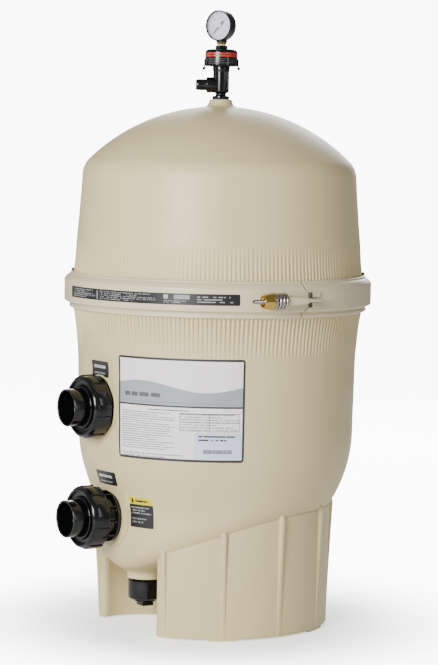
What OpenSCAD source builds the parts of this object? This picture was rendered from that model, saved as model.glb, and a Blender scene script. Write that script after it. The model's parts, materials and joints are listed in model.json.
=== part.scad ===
// Two-piece cartridge filter housing: a lower tank on a ribbed base, a lid held on by one
// split clamp band, two union ports, a drain and an air relief valve with a pressure gauge.
// The tank axis is vertical, the ports point to -Y and the floor is at z = 0.

/* [Tank] */
// Radius of the straight tank wall, outside
tank_r = 257; // [252:1:262]
// Height of the centre of the round tank bottom
bowl_z = 365; // [355:1:375]
// Wall thickness of both shells
wall = 6; // [5:0.5:8]
// Height of the joint between tank and lid
split_z = 622.5; // [620:0.5:625]
// Radius of the two joint flanges
flange_r = 278.5; // [276:0.5:280]

/* [Lid] */
// Height of the top of the lid's crown
crown_z = 964.6; // [955:0.5:975]
// Radius of the crown
crown_r = 345; // [335:1:355]
// Radius of the knuckle between side and crown
knuckle_r = 45; // [40:1:50]

/* [Clamp] */
// Outer radius of the clamp band
clamp_r = 286.5; // [285:0.5:288]
// Azimuth of the split in the band, from the ports towards +X
split_az = 87; // [80:1:95]
// Distance of the clamp bolt from the tank axis
bolt_rho = 304; // [302:0.5:306]
// Radius of the clamp bolt
bolt_r = 4; // [3.5:0.1:4.5]

/* [Base] */
// Outer radius of the base skirt
skirt_r = 217; // [214:1:220]
// Thickness of the skirt
skirt_wall = 5; // [4:0.5:7]
// Height of the foot pads
pad_h = 4; // [3:0.5:5]

/* [Drain] */
// Distance of the drain in front of the tank axis
drain_y = 150; // [145:1:155]
// Radius of the alcove around the drain
alcove_r = 112; // [108:1:114]
// Radius of the tank's upright front over the drain
front_r = 228; // [226:0.5:229]

/* [Ports] */
// Height of the inlet port
inlet_z = 416; // [410:1:422]
// Centre distance of the two ports
port_spacing = 203; // [200:0.1:205]
// Radius of the pipe sockets
socket_r = 30.25; // [30.15:0.01:30.35]
// Depth of the pipe sockets
socket_depth = 34; // [30:1:36]
// Distance from the tank axis to the ends of the tailpieces
port_reach = 318.5; // [316:0.5:322]

/* [Gauge] */
// Radius of the gauge case
gauge_r = 30.5; // [28:0.5:33]
// Azimuth that the gauge faces
gauge_az = 22; // [0:1:45]

/* [Elements] */
// Radius of each filter element
element_r = 82; // [78:1:82]
// Distance of the elements from the tank axis
element_rho = 118; // [117:1:120]
// Number of pleats in each element
pleats = 48; // [24:1:60]

/* [Hidden] */
$fn = 96;
eps = 0.01;
axis_x = -15.25;
axis_y = 16;

// Tank colours
tank_colour = [0.80, 0.75, 0.66];
clamp_colour = [0.78, 0.75, 0.68];
black = [0.05, 0.05, 0.055];
brass = [0.78, 0.6, 0.25];
white = [0.92, 0.92, 0.9];

// Joint flanges
flange_top = split_z + 15;
flange_low = split_z - 15;
neck_r = 268.3;
// Side of the tank above the bowl, outside
side_pts = [[tank_r + 1.5, 430], [tank_r + 2, 480], [tank_r + 3, 510], [tank_r + 5.5, 538],
  [264.5, 566], [neck_r, 585]];
// Sloping bottom that runs down to the drain neck
sump_flat_z = 96;
sump_floor_z = 110;
hopper_slope = 0.505;
hopper_r0 = 15.8;
// Ports
outlet_z = inlet_z - port_spacing;
port_face = 228;
pocket_r = 52;
column_x = 57;
column_y = 252;
bulk_bore_r = 26;
bulk_shank_r = 37;
union_y = 276;
union_thread_r = 50;
nut_r = 58.5;
// Lid side, outside
lid_pts = [[flange_r, split_z + 0.3], [flange_r, flange_top], [neck_r, 648.5], [neck_r, 657],
  [267.2, 672], [264.4, 717], [259.4, 776]];
crown_c = crown_z - crown_r;
knuckle_tilt = 45.5;
side_tilt = 4.2;
knuckle_cr = (crown_r - knuckle_r) * cos(knuckle_tilt);
knuckle_cz = crown_c + (crown_r - knuckle_r) * sin(knuckle_tilt);
boss_z = 977;
stem_bore_r = 12;
// Relief valve stack
vent_az = -33;
vent_z = 1004;
collar_z = 1041;
valve_z = 1038;
valve_top = 1070;
valve_r = 29.5;
hex_top = 1077;
gauge_z = 1114;
tab_pivot_z = 1049;
// Inside
caps_z = [290, 798];
cap_h = 12;
rod_r = 6;

function arc(cx, cz, r, a0, a1, n) =
  [for (i = [0:n]) let (a = a0 + (a1 - a0) * i / n) [cx + r * cos(a), cz + r * sin(a)]];

// Places what is drawn around the tank axis in the part's own frame
module at_axis() translate([axis_x, axis_y, 0]) children();
// Turns what is drawn in front of the axis to an azimuth
module at_az(a) rotate([0, 0, a]) children();
// A cylinder along -Y from y = -y0 to y = -y1
module port_cyl(r, y0, y1, z) translate([0, -y0, z]) rotate([90, 0, 0]) cylinder(r = r, h = y1 - y0);
// A ring about Z
module ring(r_out, r_in, z0, z1) difference() {
  translate([0, 0, z0]) cylinder(r = r_out, h = z1 - z0);
  translate([0, 0, z0 - 1]) cylinder(r = r_in, h = z1 - z0 + 2);
}
// A ring about a port's axis
module port_ring(r_out, r_in, y0, y1, z) difference() {
  port_cyl(r_out, y0, y1, z);
  port_cyl(r_in, y0 - 1, y1 + 1, z);
}
module torus(r, d) rotate_extrude() translate([r, 0]) circle(d = d, $fn = 32);

// ---- shells ----
// Half outline of the tank: d = 0 outside, d = wall inside
module tank_outline(d) {
  intersection() {
    translate([0, bowl_z]) circle(r = tank_r - d, $fn = 180);
    translate([0, 0]) square([tank_r + 1, bowl_z]);
  }
  polygon(concat([[0, bowl_z - eps], [tank_r - d, bowl_z - eps], [tank_r - d, 400]],
    [for (p = side_pts) [p[0] - d, p[1]]],
    d > 0 ? [[neck_r - d, split_z + 1], [0, split_z + 1]]
      : [[neck_r, 598], [flange_r, flange_low], [flange_r, split_z], [0, split_z]]));
}
// The sloping bottom, upright in front: d is its depth inside the outer surface
module hopper(d) intersection() {
  translate([0, 0, 90]) cylinder(r = front_r - d, h = bowl_z - 90, $fn = 120);
  translate([0, -drain_y, sump_flat_z + d * 1.12])
    cylinder(r1 = hopper_r0, r2 = hopper_r0 + 236 / hopper_slope, h = 236, $fn = 120);
}
module bowl_body(t) {
  translate([0, 0, bowl_z]) sphere(r = tank_r + t, $fn = 180);
  hopper(-t);
}
module lower_shell() color(tank_colour) at_axis() difference() {
  union() {
    intersection() {
      union() {
        rotate_extrude($fn = 180) tank_outline(0);
        hopper(0);
      }
      translate([-400, -column_y, sump_flat_z]) cube([800, 800, 700]);
    }
    // Outlet boss on the bowl
    port_cyl(column_x, port_face - 60, port_face, outlet_z);
    translate([-column_x, -port_face, outlet_z]) cube([2 * column_x, 60, 60]);
    // Pocket wall behind the inlet
    port_cyl(pocket_r + wall, port_face - wall, column_y, inlet_z);
    // Drain neck
    translate([0, -drain_y, sump_flat_z]) cylinder(r = 33.5, h = 14);
    // Groove ring for the seal
    ring(neck_r - 1, 250, split_z - 14, split_z);
  }
  difference() {
    union() {
      difference() {
        rotate_extrude($fn = 180) tank_outline(wall);
        translate([-400, -800, 0]) cube([800, 800 - column_y + wall, 900]);
        ring(neck_r + 2, 250, split_z - 14, split_z + 2);
        port_cyl(pocket_r + wall, port_face - wall, column_y, inlet_z);
      }
      hopper(wall);
    }
    translate([-200, -400, -100]) cube([400, 400, sump_floor_z + 100]);
    port_cyl(pocket_r + wall, port_face - wall, column_y + 10, outlet_z);
  }
  // Flat for the drain's lock nut
  translate([0, -drain_y, sump_floor_z]) cylinder(r = 33, h = 12);
  // Inside face of the outlet boss
  port_cyl(column_x - 5, 100, port_face - wall, outlet_z);
  for (z = [inlet_z, outlet_z]) {
    port_cyl(pocket_r, port_face, column_y + 20, z);
    port_cyl(bulk_shank_r + 0.3, 150, 300, z);
  }
  translate([0, -drain_y, 80]) cylinder(r = 22.3, h = 60);
  // Seal groove
  translate([0, 0, split_z]) rotate_extrude($fn = 180) translate([258.5, 0]) circle(d = 8, $fn = 32);
}
module lid_outline(d) polygon(concat(
  d > 0 ? [[0, split_z - 1], [neck_r - d - 10, split_z - 1], [neck_r - d - 10, 640]]
    : [[0, split_z + 0.3]],
  [for (p = lid_pts) if (d == 0 || p[1] > 650) [p[0] - d, p[1]]],
  arc(knuckle_cr, knuckle_cz, knuckle_r - d, side_tilt, knuckle_tilt, 8),
  arc(0, crown_c, crown_r - d, knuckle_tilt + 2.5, 90, 16)));
module upper_shell() color(tank_colour) at_axis() difference() {
  union() {
    rotate_extrude($fn = 180) lid_outline(0);
    translate([0, 0, 950]) cylinder(r1 = 30, r2 = 27, h = 16);
    translate([0, 0, 966]) cylinder(r = 21, h = boss_z - 966);
  }
  rotate_extrude($fn = 180) lid_outline(wall);
  translate([0, 0, 930]) cylinder(r = stem_bore_r + 0.3, h = 60);
}
module base_skirt() color(tank_colour) at_axis() difference() {
  union() {
    difference() {
      ring(skirt_r, skirt_r - skirt_wall, pad_h, 240);
      translate([0, -drain_y, -1]) cylinder(r = alcove_r, h = 300);
    }
    // Alcove wall round the drain
    intersection() {
      difference() {
        translate([0, -drain_y, pad_h]) cylinder(r = alcove_r + skirt_wall, h = 180);
        translate([0, -drain_y, -1]) cylinder(r = alcove_r, h = 300);
      }
      cylinder(r = skirt_r - 1, h = 300);
    }
    for (s = [-1, 1]) translate([s * 109, -181, pad_h]) cylinder(r = 9, h = 150);
    for (a = rib_az) at_az(a) rib(rib_top(a));
    for (a = pad_az) at_az(a) rotate([0, 0, -97]) intersection() {
      ring(skirt_r + 2, skirt_r - 22, 0, pad_h + 3);
      linear_extrude(20) polygon([[0, 0], [300, 0], [300, 74]]);
    }
  }
  bowl_body(0);
}
// One upright rib of the base, proud at the top and flush at the floor
module rib(top) translate([-5.5, 0, 0]) rotate([90, 0, 90]) linear_extrude(11)
  polygon([[-skirt_r + 2, pad_h + 6], [-skirt_r - 0.5, pad_h + 6], [-skirt_r - 8, top],
    [-skirt_r + 2, top + 12]]);
rib_az = [for (i = [-5:5]) i * 29.5 + (abs(i) < 1 ? 180 : sign(i) * 3)];
pad_az = [62, 121, 180, 239, 298];
function rib_top(a) = let (b = min(abs(a), 360 - abs(a))) b < 40 ? 169 : b < 70 ? 206 : b < 100 ? 239 : 245;

module tank_oring() color(black) at_axis() translate([0, 0, split_z - 0.05]) difference() {
  rotate_extrude($fn = 180) translate([258.5, 0]) circle(d = 7.8, $fn = 32);
  translate([0, 0, 0]) cylinder(r = 300, h = 20);
}

// ---- clamp ----
module clamp_section() polygon([[274, 589], [274, 596], [clamp_r, 604], [clamp_r, 642],
  [271, 655], [269.2, 651], [281, 641], [281, 604.5], [270, 596.7], [270, 589]]);
module clamp_gap() translate([-2.3, -330, 580]) cube([4.6, 120, 100]);
module clamp_band() color(clamp_colour) at_axis() difference() {
  union() {
    rotate_extrude($fn = 180) clamp_section();
    at_az(split_az) {
      // Sleeve lug that the spring pushes on
      translate([-25, 0, 0]) rotate([0, 90, 0]) linear_extrude(22)
        polygon([[-split_z + 11, -283.5], [-split_z + 11, -bolt_rho - 6], [-split_z + 6, -bolt_rho - 9],
          [-split_z - 6, -bolt_rho - 9], [-split_z - 11, -bolt_rho - 6], [-split_z - 11, -283.5]]);
      // Lug that holds the T-head
      translate([4, -bolt_rho - 9, split_z - 17]) cube([30, 22, 34]);
    }
  }
  at_az(split_az) {
    clamp_gap();
    translate([-60, -bolt_rho, split_z]) rotate([0, 90, 0]) cylinder(r = bolt_r + 0.6, h = 90);
    translate([22, -bolt_rho, split_z - 30]) cylinder(r = 6.3, h = 60);
    translate([-1, -bolt_rho - 20, split_z - 4.8]) cube([30, 20, 9.6]);
  }
}
module clamp_bumpers() color(black) at_axis() for (a = [vent_az, vent_az + 180]) at_az(a)
  translate([0, -271.2, 656]) cylinder(r = 2.6, h = 4);
module clamp_t_bolt() color([0.7, 0.7, 0.72]) at_axis() at_az(split_az) {
  translate([-103, -bolt_rho, split_z]) rotate([0, 90, 0]) cylinder(r = bolt_r, h = 125);
  translate([22, -bolt_rho, split_z - 16]) cylinder(r = 6, h = 32);
}
module clamp_washer() color([0.75, 0.75, 0.76]) at_axis() at_az(split_az)
  translate([-61, -bolt_rho, split_z]) rotate([0, 90, 0]) difference() {
    cylinder(r = 15.5, h = 2);
    translate([0, 0, -1]) cylinder(r = bolt_r + 0.4, h = 4);
  }
module clamp_nut() color(brass) at_axis() at_az(split_az)
  translate([-61.1, -bolt_rho, split_z]) rotate([0, -90, 0]) difference() {
    union() {
      cylinder(r = 14.5, h = 19, $fn = 8);
      translate([0, 0, 19]) cylinder(r1 = 12.5, r2 = 9, h = 10);
    }
    translate([0, 0, -1]) cylinder(r = bolt_r + 0.05, h = 40);
  }
// Compression spring: a wire swept along a helix
spring_turns = 4.5;
spring_r = 12.5;
wire_r = 2.7;
spring_len = 33.2;
spring_sides = 8;
spring_rings = 72;
function wire_pitch(t) = -58.6 + wire_r + t * (spring_len - 2 * wire_r);
function spring_point(i, j) = let (t = i / spring_rings, a = 360 * spring_turns * t,
  b = 360 * j / spring_sides, r = spring_r + wire_r * cos(b))
  [wire_pitch(t) + wire_r * sin(b), r * cos(a), r * sin(a)];
module clamp_spring() color([0.6, 0.6, 0.62]) at_axis() at_az(split_az)
  translate([0, -bolt_rho, split_z]) polyhedron(
    points = [for (i = [0:spring_rings]) for (j = [0:spring_sides - 1]) spring_point(i, j)],
    faces = concat(
      [[for (j = [0:spring_sides - 1]) j]],
      [for (i = [0:spring_rings - 1]) for (j = [0:spring_sides - 1])
        let (a = i * spring_sides + j, b = i * spring_sides + (j + 1) % spring_sides)
        [a, a + spring_sides, b + spring_sides, b]],
      [[for (j = [spring_sides - 1:-1:0]) spring_rings * spring_sides + j]]));

// ---- ports ----
module bulkhead(z) color(black) at_axis() difference() {
  union() {
    port_cyl(bulk_shank_r, 196, port_face + 3, z);
    port_cyl(47, port_face + 2, port_face + 7, z);
    port_cyl(40, port_face + 6, union_y - 12, z);
    port_cyl(union_thread_r, union_y - 14, union_y, z);
    for (a = [0:45:315]) translate([0, 0, z]) rotate([0, a, 0])
      translate([-1.5, -union_y + 13, 36]) cube([3, 30, 10.5]);
  }
  port_cyl(bulk_bore_r, 190, 300, z);
  translate([0, -union_y, z]) rotate([90, 0, 0]) rotate_extrude() translate([36, 0]) circle(d = 4.2, $fn = 32);
}
module inlet_bulkhead() bulkhead(inlet_z);
module outlet_bulkhead() bulkhead(outlet_z);
module wall_gaskets() color(black) at_axis() for (z = [inlet_z, outlet_z])
  port_ring(46, bulk_shank_r + 0.4, port_face, port_face + 2, z);
module bulkhead_lock_nuts() color(black) at_axis() for (z = [inlet_z, outlet_z]) difference() {
  translate([0, -port_face + wall + 12, z]) rotate([90, 0, 0]) cylinder(r = 50, h = 12, $fn = 8);
  port_cyl(bulk_shank_r + 0.05, 190, 240, z);
}
module union_orings() color(black) at_axis() for (z = [inlet_z, outlet_z])
  translate([0, -union_y + 0.1, z]) rotate([90, 0, 0]) difference() {
    torus(36, 4);
    cylinder(r = 60, h = 10);
  }
module tailpiece(z) color(black) at_axis() difference() {
  union() {
    port_cyl(46, union_y + 0.2, union_y + 6, z);
    port_cyl(34, union_y + 5, port_reach, z);
  }
  port_cyl(bulk_bore_r, union_y - 5, port_reach + 5, z);
  port_cyl(socket_r, port_reach - socket_depth, port_reach + 5, z);
}
module inlet_tailpiece() tailpiece(inlet_z);
module outlet_tailpiece() tailpiece(outlet_z);
module union_nut(z) color(black) at_axis() difference() {
  union() {
    port_cyl(55.5, 258, 290, z);
    port_cyl(54, 289, 293, z);
    for (a = [0:45:315]) translate([0, 0, z]) rotate([0, a + 22.5, 0])
      translate([-7, -290, 40]) cube([14, 32, nut_r - 40]);
  }
  port_cyl(union_thread_r + 0.4, 250, union_y + 6.4, z);
  port_cyl(34.4, 250, 300, z);
  port_ring(50, 38.5, 287, 300, z);
}
module inlet_union_nut() union_nut(inlet_z);
module outlet_union_nut() union_nut(outlet_z);

// ---- inside ----
module inlet_diffuser() color(white) at_axis() {
  port_ring(42, bulk_shank_r + 0.2, 186, 206, inlet_z);
  port_cyl(50, 172, 176, inlet_z);
  for (a = [45:90:315]) translate([0, -176, inlet_z]) rotate([0, a, 0]) translate([39.6, 0, 0])
    rotate([90, 0, 0]) cylinder(r = 2.3, h = 10);
}
module outlet_elbow() color(white) at_axis() difference() {
  union() {
    port_cyl(30, -30, 195.9, outlet_z);
    translate([0, 0, outlet_z]) cylinder(r = 28, h = 263 - outlet_z);
    port_ring(42, bulk_shank_r + 0.2, 190, 206, outlet_z);
    port_cyl(42, 185, 195.9, outlet_z);
  }
  port_cyl(24, -25, 210, outlet_z);
  translate([0, 0, outlet_z]) cylinder(r = 24, h = 80);
}
module bottom_manifold() color(white) at_axis() difference() {
  union() {
    translate([0, 0, 263]) cylinder(r = 60, h = 20);
    for (i = [0:3]) at_az(45 + 90 * i) {
      translate([0, -element_rho, 263]) cylinder(r = 40, h = 20);
      translate([-24, -element_rho, 263]) cube([48, element_rho, 20]);
      translate([0, -element_rho, 280]) cylinder(r = 22, h = 14);
    }
  }
  translate([0, 0, 250]) cylinder(r = 24, h = 25);
  for (i = [0:3]) at_az(45 + 90 * i) {
    translate([0, -element_rho, 268]) cylinder(r = 18, h = 40);
    translate([-14, -element_rho, 268]) cube([28, element_rho, 10]);
  }
  translate([0, 0, 278]) cylinder(r = rod_r + 0.05, h = 20);
}
module top_manifold() color(white) at_axis() difference() {
  union() {
    translate([0, 0, caps_z[1] + cap_h]) cylinder(r = 40, h = 12);
    for (i = [0:3]) at_az(45 + 90 * i) {
      translate([0, -element_rho, caps_z[1] + cap_h]) cylinder(r = 50, h = 12);
      translate([-20, -element_rho, caps_z[1] + cap_h]) cube([40, element_rho, 12]);
      translate([0, -element_rho, caps_z[1] + 3]) cylinder(r = 22, h = 10);
    }
  }
  translate([0, 0, caps_z[1]]) cylinder(r = rod_r + 0.3, h = 40);
}
module tie_rod() color([0.7, 0.7, 0.72]) at_axis() translate([0, 0, 278]) cylinder(r = rod_r, h = 572);
module tie_knob() color(black) at_axis() difference() {
  union() {
    translate([0, 0, 822]) cylinder(r = 15, h = 24);
    for (a = [0:90:270]) rotate([0, 0, a]) translate([14, 0, 822]) cylinder(r = 6, h = 18);
  }
  translate([0, 0, 820]) cylinder(r = rod_r + 0.05, h = 40);
}
module element(i) at_axis() at_az(45 + 90 * (i - 1)) translate([0, -element_rho, 0]) children();
module pleat_pack() color([0.9, 0.9, 0.86]) linear_extrude(caps_z[1] - caps_z[0] - cap_h)
  difference() {
    polygon([for (k = [0:2 * pleats - 1]) let (r = k % 2 == 0 ? element_r - 2 : element_r - 9)
      r * [cos(180 * k / pleats), sin(180 * k / pleats)]]);
    circle(r = 30);
  }
module element_pleats(i) element(i) translate([0, 0, caps_z[0] + cap_h]) pleat_pack();
module element_caps(i) color([0.25, 0.35, 0.55]) element(i) for (z = caps_z) translate([0, 0, z])
  difference() {
    cylinder(r = element_r, h = cap_h);
    translate([0, 0, -1]) cylinder(r = 22.1, h = cap_h + 2);
  }

// ---- drain ----
module at_drain() at_axis() translate([0, -drain_y, 0]) children();
module drain_adapter() color(black) at_drain() difference() {
  union() {
    translate([0, 0, 60]) cylinder(r = 31.4, h = 34);
    translate([0, 0, 58]) cylinder(r1 = 29.4, r2 = 31.4, h = 2);
    translate([0, 0, 90]) cylinder(r = 22, h = 32);
  }
  translate([0, 0, 50]) cylinder(r = 16.05, h = 40);
  translate([0, 0, 80]) cylinder(r = 13, h = 60);
}
module drain_adapter_seal() color([0.12, 0.12, 0.12]) at_drain() ring(31, 22.4, 94, 96);
module drain_lock_nut() color(black) at_drain() difference() {
  translate([0, 0, sump_floor_z]) cylinder(r = 32, h = 10, $fn = 6);
  translate([0, 0, 90]) cylinder(r = 22.05, h = 40);
}
module drain_plug_gasket() color([0.15, 0.15, 0.15]) at_drain() ring(20, 16.4, 55.7, 57.7);
module drain_plug() color(black) at_drain() difference() {
  union() {
    translate([-11.5, -11.5, 45]) cube([23, 23, 9]);
    translate([0, 0, 53.6]) cylinder(r = 20, h = 2);
    translate([0, 0, 55]) cylinder(r = 16, h = 24);
  }
  translate([0, 0, 62]) cylinder(r = 11, h = 30);
}

// ---- relief valve and gauge ----
module relief_stem() color(black) at_axis() difference() {
  union() {
    translate([0, 0, 979]) cylinder(r = 16, h = 5);
    translate([0, 0, 983]) cylinder(r = 9.5, h = 7);
    translate([0, 0, 989]) cylinder(r = 13.7, h = 43);
    translate([0, 0, 1031]) cylinder(r = 16, h = 10);
    translate([0, 0, 944]) cylinder(r = stem_bore_r, h = 36);
    at_az(vent_az) {
      port_cyl(14.4, 5, 27, vent_z);
      port_cyl(9.8, 20, 43, vent_z);
      translate([0, -43, vent_z]) rotate([90, 0, 0]) cylinder(r1 = 9.8, r2 = 7.8, h = 3);
    }
  }
  translate([0, 0, 940]) cylinder(r = 6, h = 90);
  translate([0, 0, 1012]) cylinder(r = 8, h = 40);
  at_az(vent_az) port_cyl(5.5, 0, 60, vent_z);
}
module stem_oring() color([0.12, 0.12, 0.12]) at_axis() ring(15.5, 12.4, 977, 979);
module stem_nut() color(black) at_axis() difference() {
  translate([0, 0, 947]) cylinder(r = 20, h = 10, $fn = 6);
  translate([0, 0, 940]) cylinder(r = stem_bore_r + 0.05, h = 30);
}
module air_strainer() color(white) at_axis() difference() {
  translate([0, 0, 908]) cylinder(r = 14, h = 38.9);
  translate([0, 0, 911]) cylinder(r = stem_bore_r - 0.8, h = 33);
  translate([0, 0, 943.9]) cylinder(r = stem_bore_r + 0.05, h = 10);
  for (z = [916:6:934]) for (a = [0:60:120]) rotate([0, 90, a]) translate([-z, 0, -30])
    cylinder(r = 1.6, h = 60);
}
module relief_valve_body() color(black) at_axis() difference() {
  union() {
    translate([0, 0, valve_z]) cylinder(r = valve_r, h = valve_top - valve_z - 4);
    translate([0, 0, valve_top - 4]) cylinder(r1 = valve_r, r2 = valve_r - 5, h = 4);
    translate([0, 0, valve_top - 1]) cylinder(r = 10.4, h = hex_top - valve_top + 1, $fn = 6);
    translate([0, 0, 1016]) cylinder(r = 7.95, h = 40);
  }
  difference() {
    translate([0, 0, valve_z - 5]) cylinder(r = 16.3, h = collar_z - valve_z + 5.3);
    cylinder(r = 7.95, h = 1200);
  }
  translate([0, 0, 1010]) cylinder(r = 3.5, h = 90);
  translate([0, 0, 1064]) cylinder(r = 6.3, h = 30);
  for (a = [vent_az, vent_az + 180]) at_az(a) translate([-7, -valve_r - 5, valve_z - 1]) cube([14, 7.6, 16.5]);
}
module valve_band() color([0.75, 0.12, 0.08]) at_axis() ring(valve_r + 0.5, valve_r + 0.05, 1056, 1065.5);
module lock_tab(a) color(black) at_axis() at_az(a) {
  translate([-6, -31.5, 1032]) cube([12, 3.2, 19]);
  translate([-6, -34.5, 1029]) cube([12, 5, 3.5]);
  translate([-6.6, -29.9, tab_pivot_z]) rotate([0, 90, 0]) cylinder(r = 1.6, h = 13.2);
}
module lock_tab_left() lock_tab(vent_az);
module lock_tab_right() lock_tab(vent_az + 180);
module gauge_socket() color(brass) at_axis() {
  translate([0, 0, 1067]) cylinder(r = 6.2, h = 14);
  rotate([0, 0, gauge_az]) translate([-8, -8, 1080]) cube([16, 16, 3.4]);
  translate([0, 0, 1083]) cylinder(r = 6, h = 3);
}
module thread_tape() color(white) at_axis() ring(7.6, 6.3, hex_top + 0.1, 1079.9);
module at_gauge() at_axis() translate([0, 0, gauge_z]) at_az(gauge_az) rotate([90, 0, 0]) children();
module gauge_case() color(black) difference() {
  at_gauge() translate([0, 0, -12]) cylinder(r = gauge_r, h = 21);
  at_gauge() translate([0, 0, -9.5]) cylinder(r = gauge_r - 2.5, h = 30);
  at_axis() translate([0, 0, 1080]) cylinder(r = 6.05, h = 12);
}
module gauge_bezel() color(black) at_gauge() ring(gauge_r, gauge_r - 3.2, 9.1, 12);
module gauge_dial() color(white) at_gauge() ring(gauge_r - 2.7, 1.5, 3, 3.8);
module gauge_lens() color([0.8, 0.85, 0.9, 0.4]) at_gauge() translate([0, 0, 8]) cylinder(r = gauge_r - 2.8, h = 1);
module gauge_tube() color(brass) at_gauge() translate([0, 0, -4]) rotate([0, 0, -80])
  rotate_extrude(angle = 260) translate([18, 0]) circle(r = 2.2, $fn = 24);
module gauge_needle() color(black) at_gauge() {
  cylinder(r = 1.2, h = 5.6);
  translate([0, 0, 4.6]) cylinder(r = 3, h = 1);
  rotate([0, 0, -135]) translate([-5, -0.7, 4.6]) cube([24, 1.4, 0.8]);
}

// ---- labels ----
// A sector of thin sheet on a wall given by [r, z] points
module wall_label(a0, a1, pts, t) color(white) at_axis() rotate([0, 0, a0 - 90])
  rotate_extrude(angle = a1 - a0, $fn = 180) polygon(concat(
    [for (p = pts) [p[0] + 0.06, p[1]]],
    [for (i = [len(pts) - 1:-1:0]) [pts[i][0] + 0.06 + t, pts[i][1]]]));
function bowl_r(z) = sqrt(tank_r * tank_r - pow(bowl_z - z, 2));
module main_label() wall_label(14.5, 67.5, concat([for (z = [334:5:359]) [bowl_r(z) + 0.05, z]],
  [[tank_r, bowl_z], [tank_r, 400], side_pts[0], side_pts[1], [tank_r + 3, 510],
  [tank_r + 3.5, 515.5]]), 0.5);
module inlet_label() color(black) at_axis() translate([-16.5, -column_y - 0.5, 471]) cube([51, 0.45, 28]);
module outlet_label() color(black) at_axis() intersection() {
  translate([-16.5, -260, 271]) cube([51, 60, 26]);
  difference() {
    bowl_body(0.5);
    bowl_body(0.06);
  }
}
module notice_label() color([0.9, 0.75, 0.1]) at_axis() intersection() {
  at_az(22) translate([-24, -260, 203]) cube([48, 100, 54]);
  translate([0, 0, 200]) cylinder(r = 300, h = 100);
  difference() {
    bowl_body(0.5);
    bowl_body(0.06);
  }
}
module clamp_label() color(black) at_axis() rotate([0, 0, -11 - 90]) rotate_extrude(angle = 76, $fn = 180)
  translate([clamp_r + 0.05, 613]) square([0.4, 20]);

lower_shell();
base_skirt();
tank_oring();
clamp_band();
clamp_bumpers();
clamp_t_bolt();
clamp_spring();
clamp_washer();
clamp_nut();
upper_shell();
inlet_bulkhead();
outlet_bulkhead();
wall_gaskets();
bulkhead_lock_nuts();
union_orings();
inlet_tailpiece();
inlet_union_nut();
outlet_tailpiece();
outlet_union_nut();
inlet_diffuser();
outlet_elbow();
bottom_manifold();
top_manifold();
tie_rod();
tie_knob();
element_pleats(1);  // element_pleats_1
element_pleats(2);  // element_pleats_2
element_pleats(3);  // element_pleats_3
element_pleats(4);  // element_pleats_4
element_caps(1);  // element_caps_1
element_caps(2);  // element_caps_2
element_caps(3);  // element_caps_3
element_caps(4);  // element_caps_4
drain_adapter();
drain_adapter_seal();
drain_lock_nut();
drain_plug_gasket();
drain_plug();
relief_stem();
stem_oring();
stem_nut();
air_strainer();
relief_valve_body();
valve_band();
lock_tab_left();
lock_tab_right();
gauge_socket();
thread_tape();
gauge_case();
gauge_bezel();
gauge_dial();
gauge_lens();
gauge_tube();
gauge_needle();
main_label();
inlet_label();
outlet_label();
notice_label();
clamp_label();
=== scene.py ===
"""Looks of a two-piece cartridge filter housing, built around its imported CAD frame."""

import json
import logging
import math
from dataclasses import dataclass, field
from enum import Enum
from typing import Callable, Iterable, Optional, Sequence

import bmesh
import bpy
import numpy as np
from mathutils import Matrix, Quaternion, Vector


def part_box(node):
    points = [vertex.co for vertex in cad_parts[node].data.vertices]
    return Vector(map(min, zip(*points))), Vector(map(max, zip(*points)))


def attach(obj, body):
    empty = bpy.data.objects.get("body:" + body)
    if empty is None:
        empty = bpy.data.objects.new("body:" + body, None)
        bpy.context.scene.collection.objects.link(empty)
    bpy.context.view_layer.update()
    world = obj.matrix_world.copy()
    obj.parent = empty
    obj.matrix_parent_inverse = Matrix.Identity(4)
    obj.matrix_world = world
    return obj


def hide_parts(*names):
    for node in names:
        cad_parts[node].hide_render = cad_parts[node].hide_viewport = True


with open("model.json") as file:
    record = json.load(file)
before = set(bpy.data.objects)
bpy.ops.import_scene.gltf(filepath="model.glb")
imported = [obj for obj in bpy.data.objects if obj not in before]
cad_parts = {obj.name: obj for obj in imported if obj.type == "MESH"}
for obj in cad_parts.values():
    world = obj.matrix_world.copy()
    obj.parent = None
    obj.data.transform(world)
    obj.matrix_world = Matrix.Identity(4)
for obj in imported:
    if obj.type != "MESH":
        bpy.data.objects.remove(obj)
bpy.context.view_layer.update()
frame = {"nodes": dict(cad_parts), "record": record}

log = logging.getLogger("filter_housing")
MM = 0.001
Point2 = tuple[float, float]


def node_centre(node: str) -> Vector:
    """Middle of a CAD node's box, in metres."""
    low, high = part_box(node)
    return (low + high) / 2


AXIS = Matrix.Translation((node_centre("tank_oring").x, node_centre("tank_oring").y, 0))


class Slot(Enum):
    """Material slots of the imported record."""

    TANK = "tank_plastic"
    CLAMP = "clamp_plastic"
    BLACK = "black_plastic"
    RUBBER = "seal_rubber"
    STEEL = "bolt_steel"
    BRASS = "nut_brass"
    WHITE = "white_plastic"
    CAP = "cap_plastic"
    PLEAT = "pleat_fabric"
    LABEL = "label_print"
    LABEL_BLACK = "label_black"
    LABEL_YELLOW = "label_yellow"
    RED = "valve_red"
    TAPE = "tape_white"
    DIAL = "dial_white"
    LENS = "lens_clear"


# ---------------------------------------------------------------- mesh tools


def smoothstep(t: np.ndarray) -> np.ndarray:
    """Smooth ramp from 0 to 1."""
    t = np.clip(t, 0.0, 1.0)
    return t * t * (3 - 2 * t)


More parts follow.
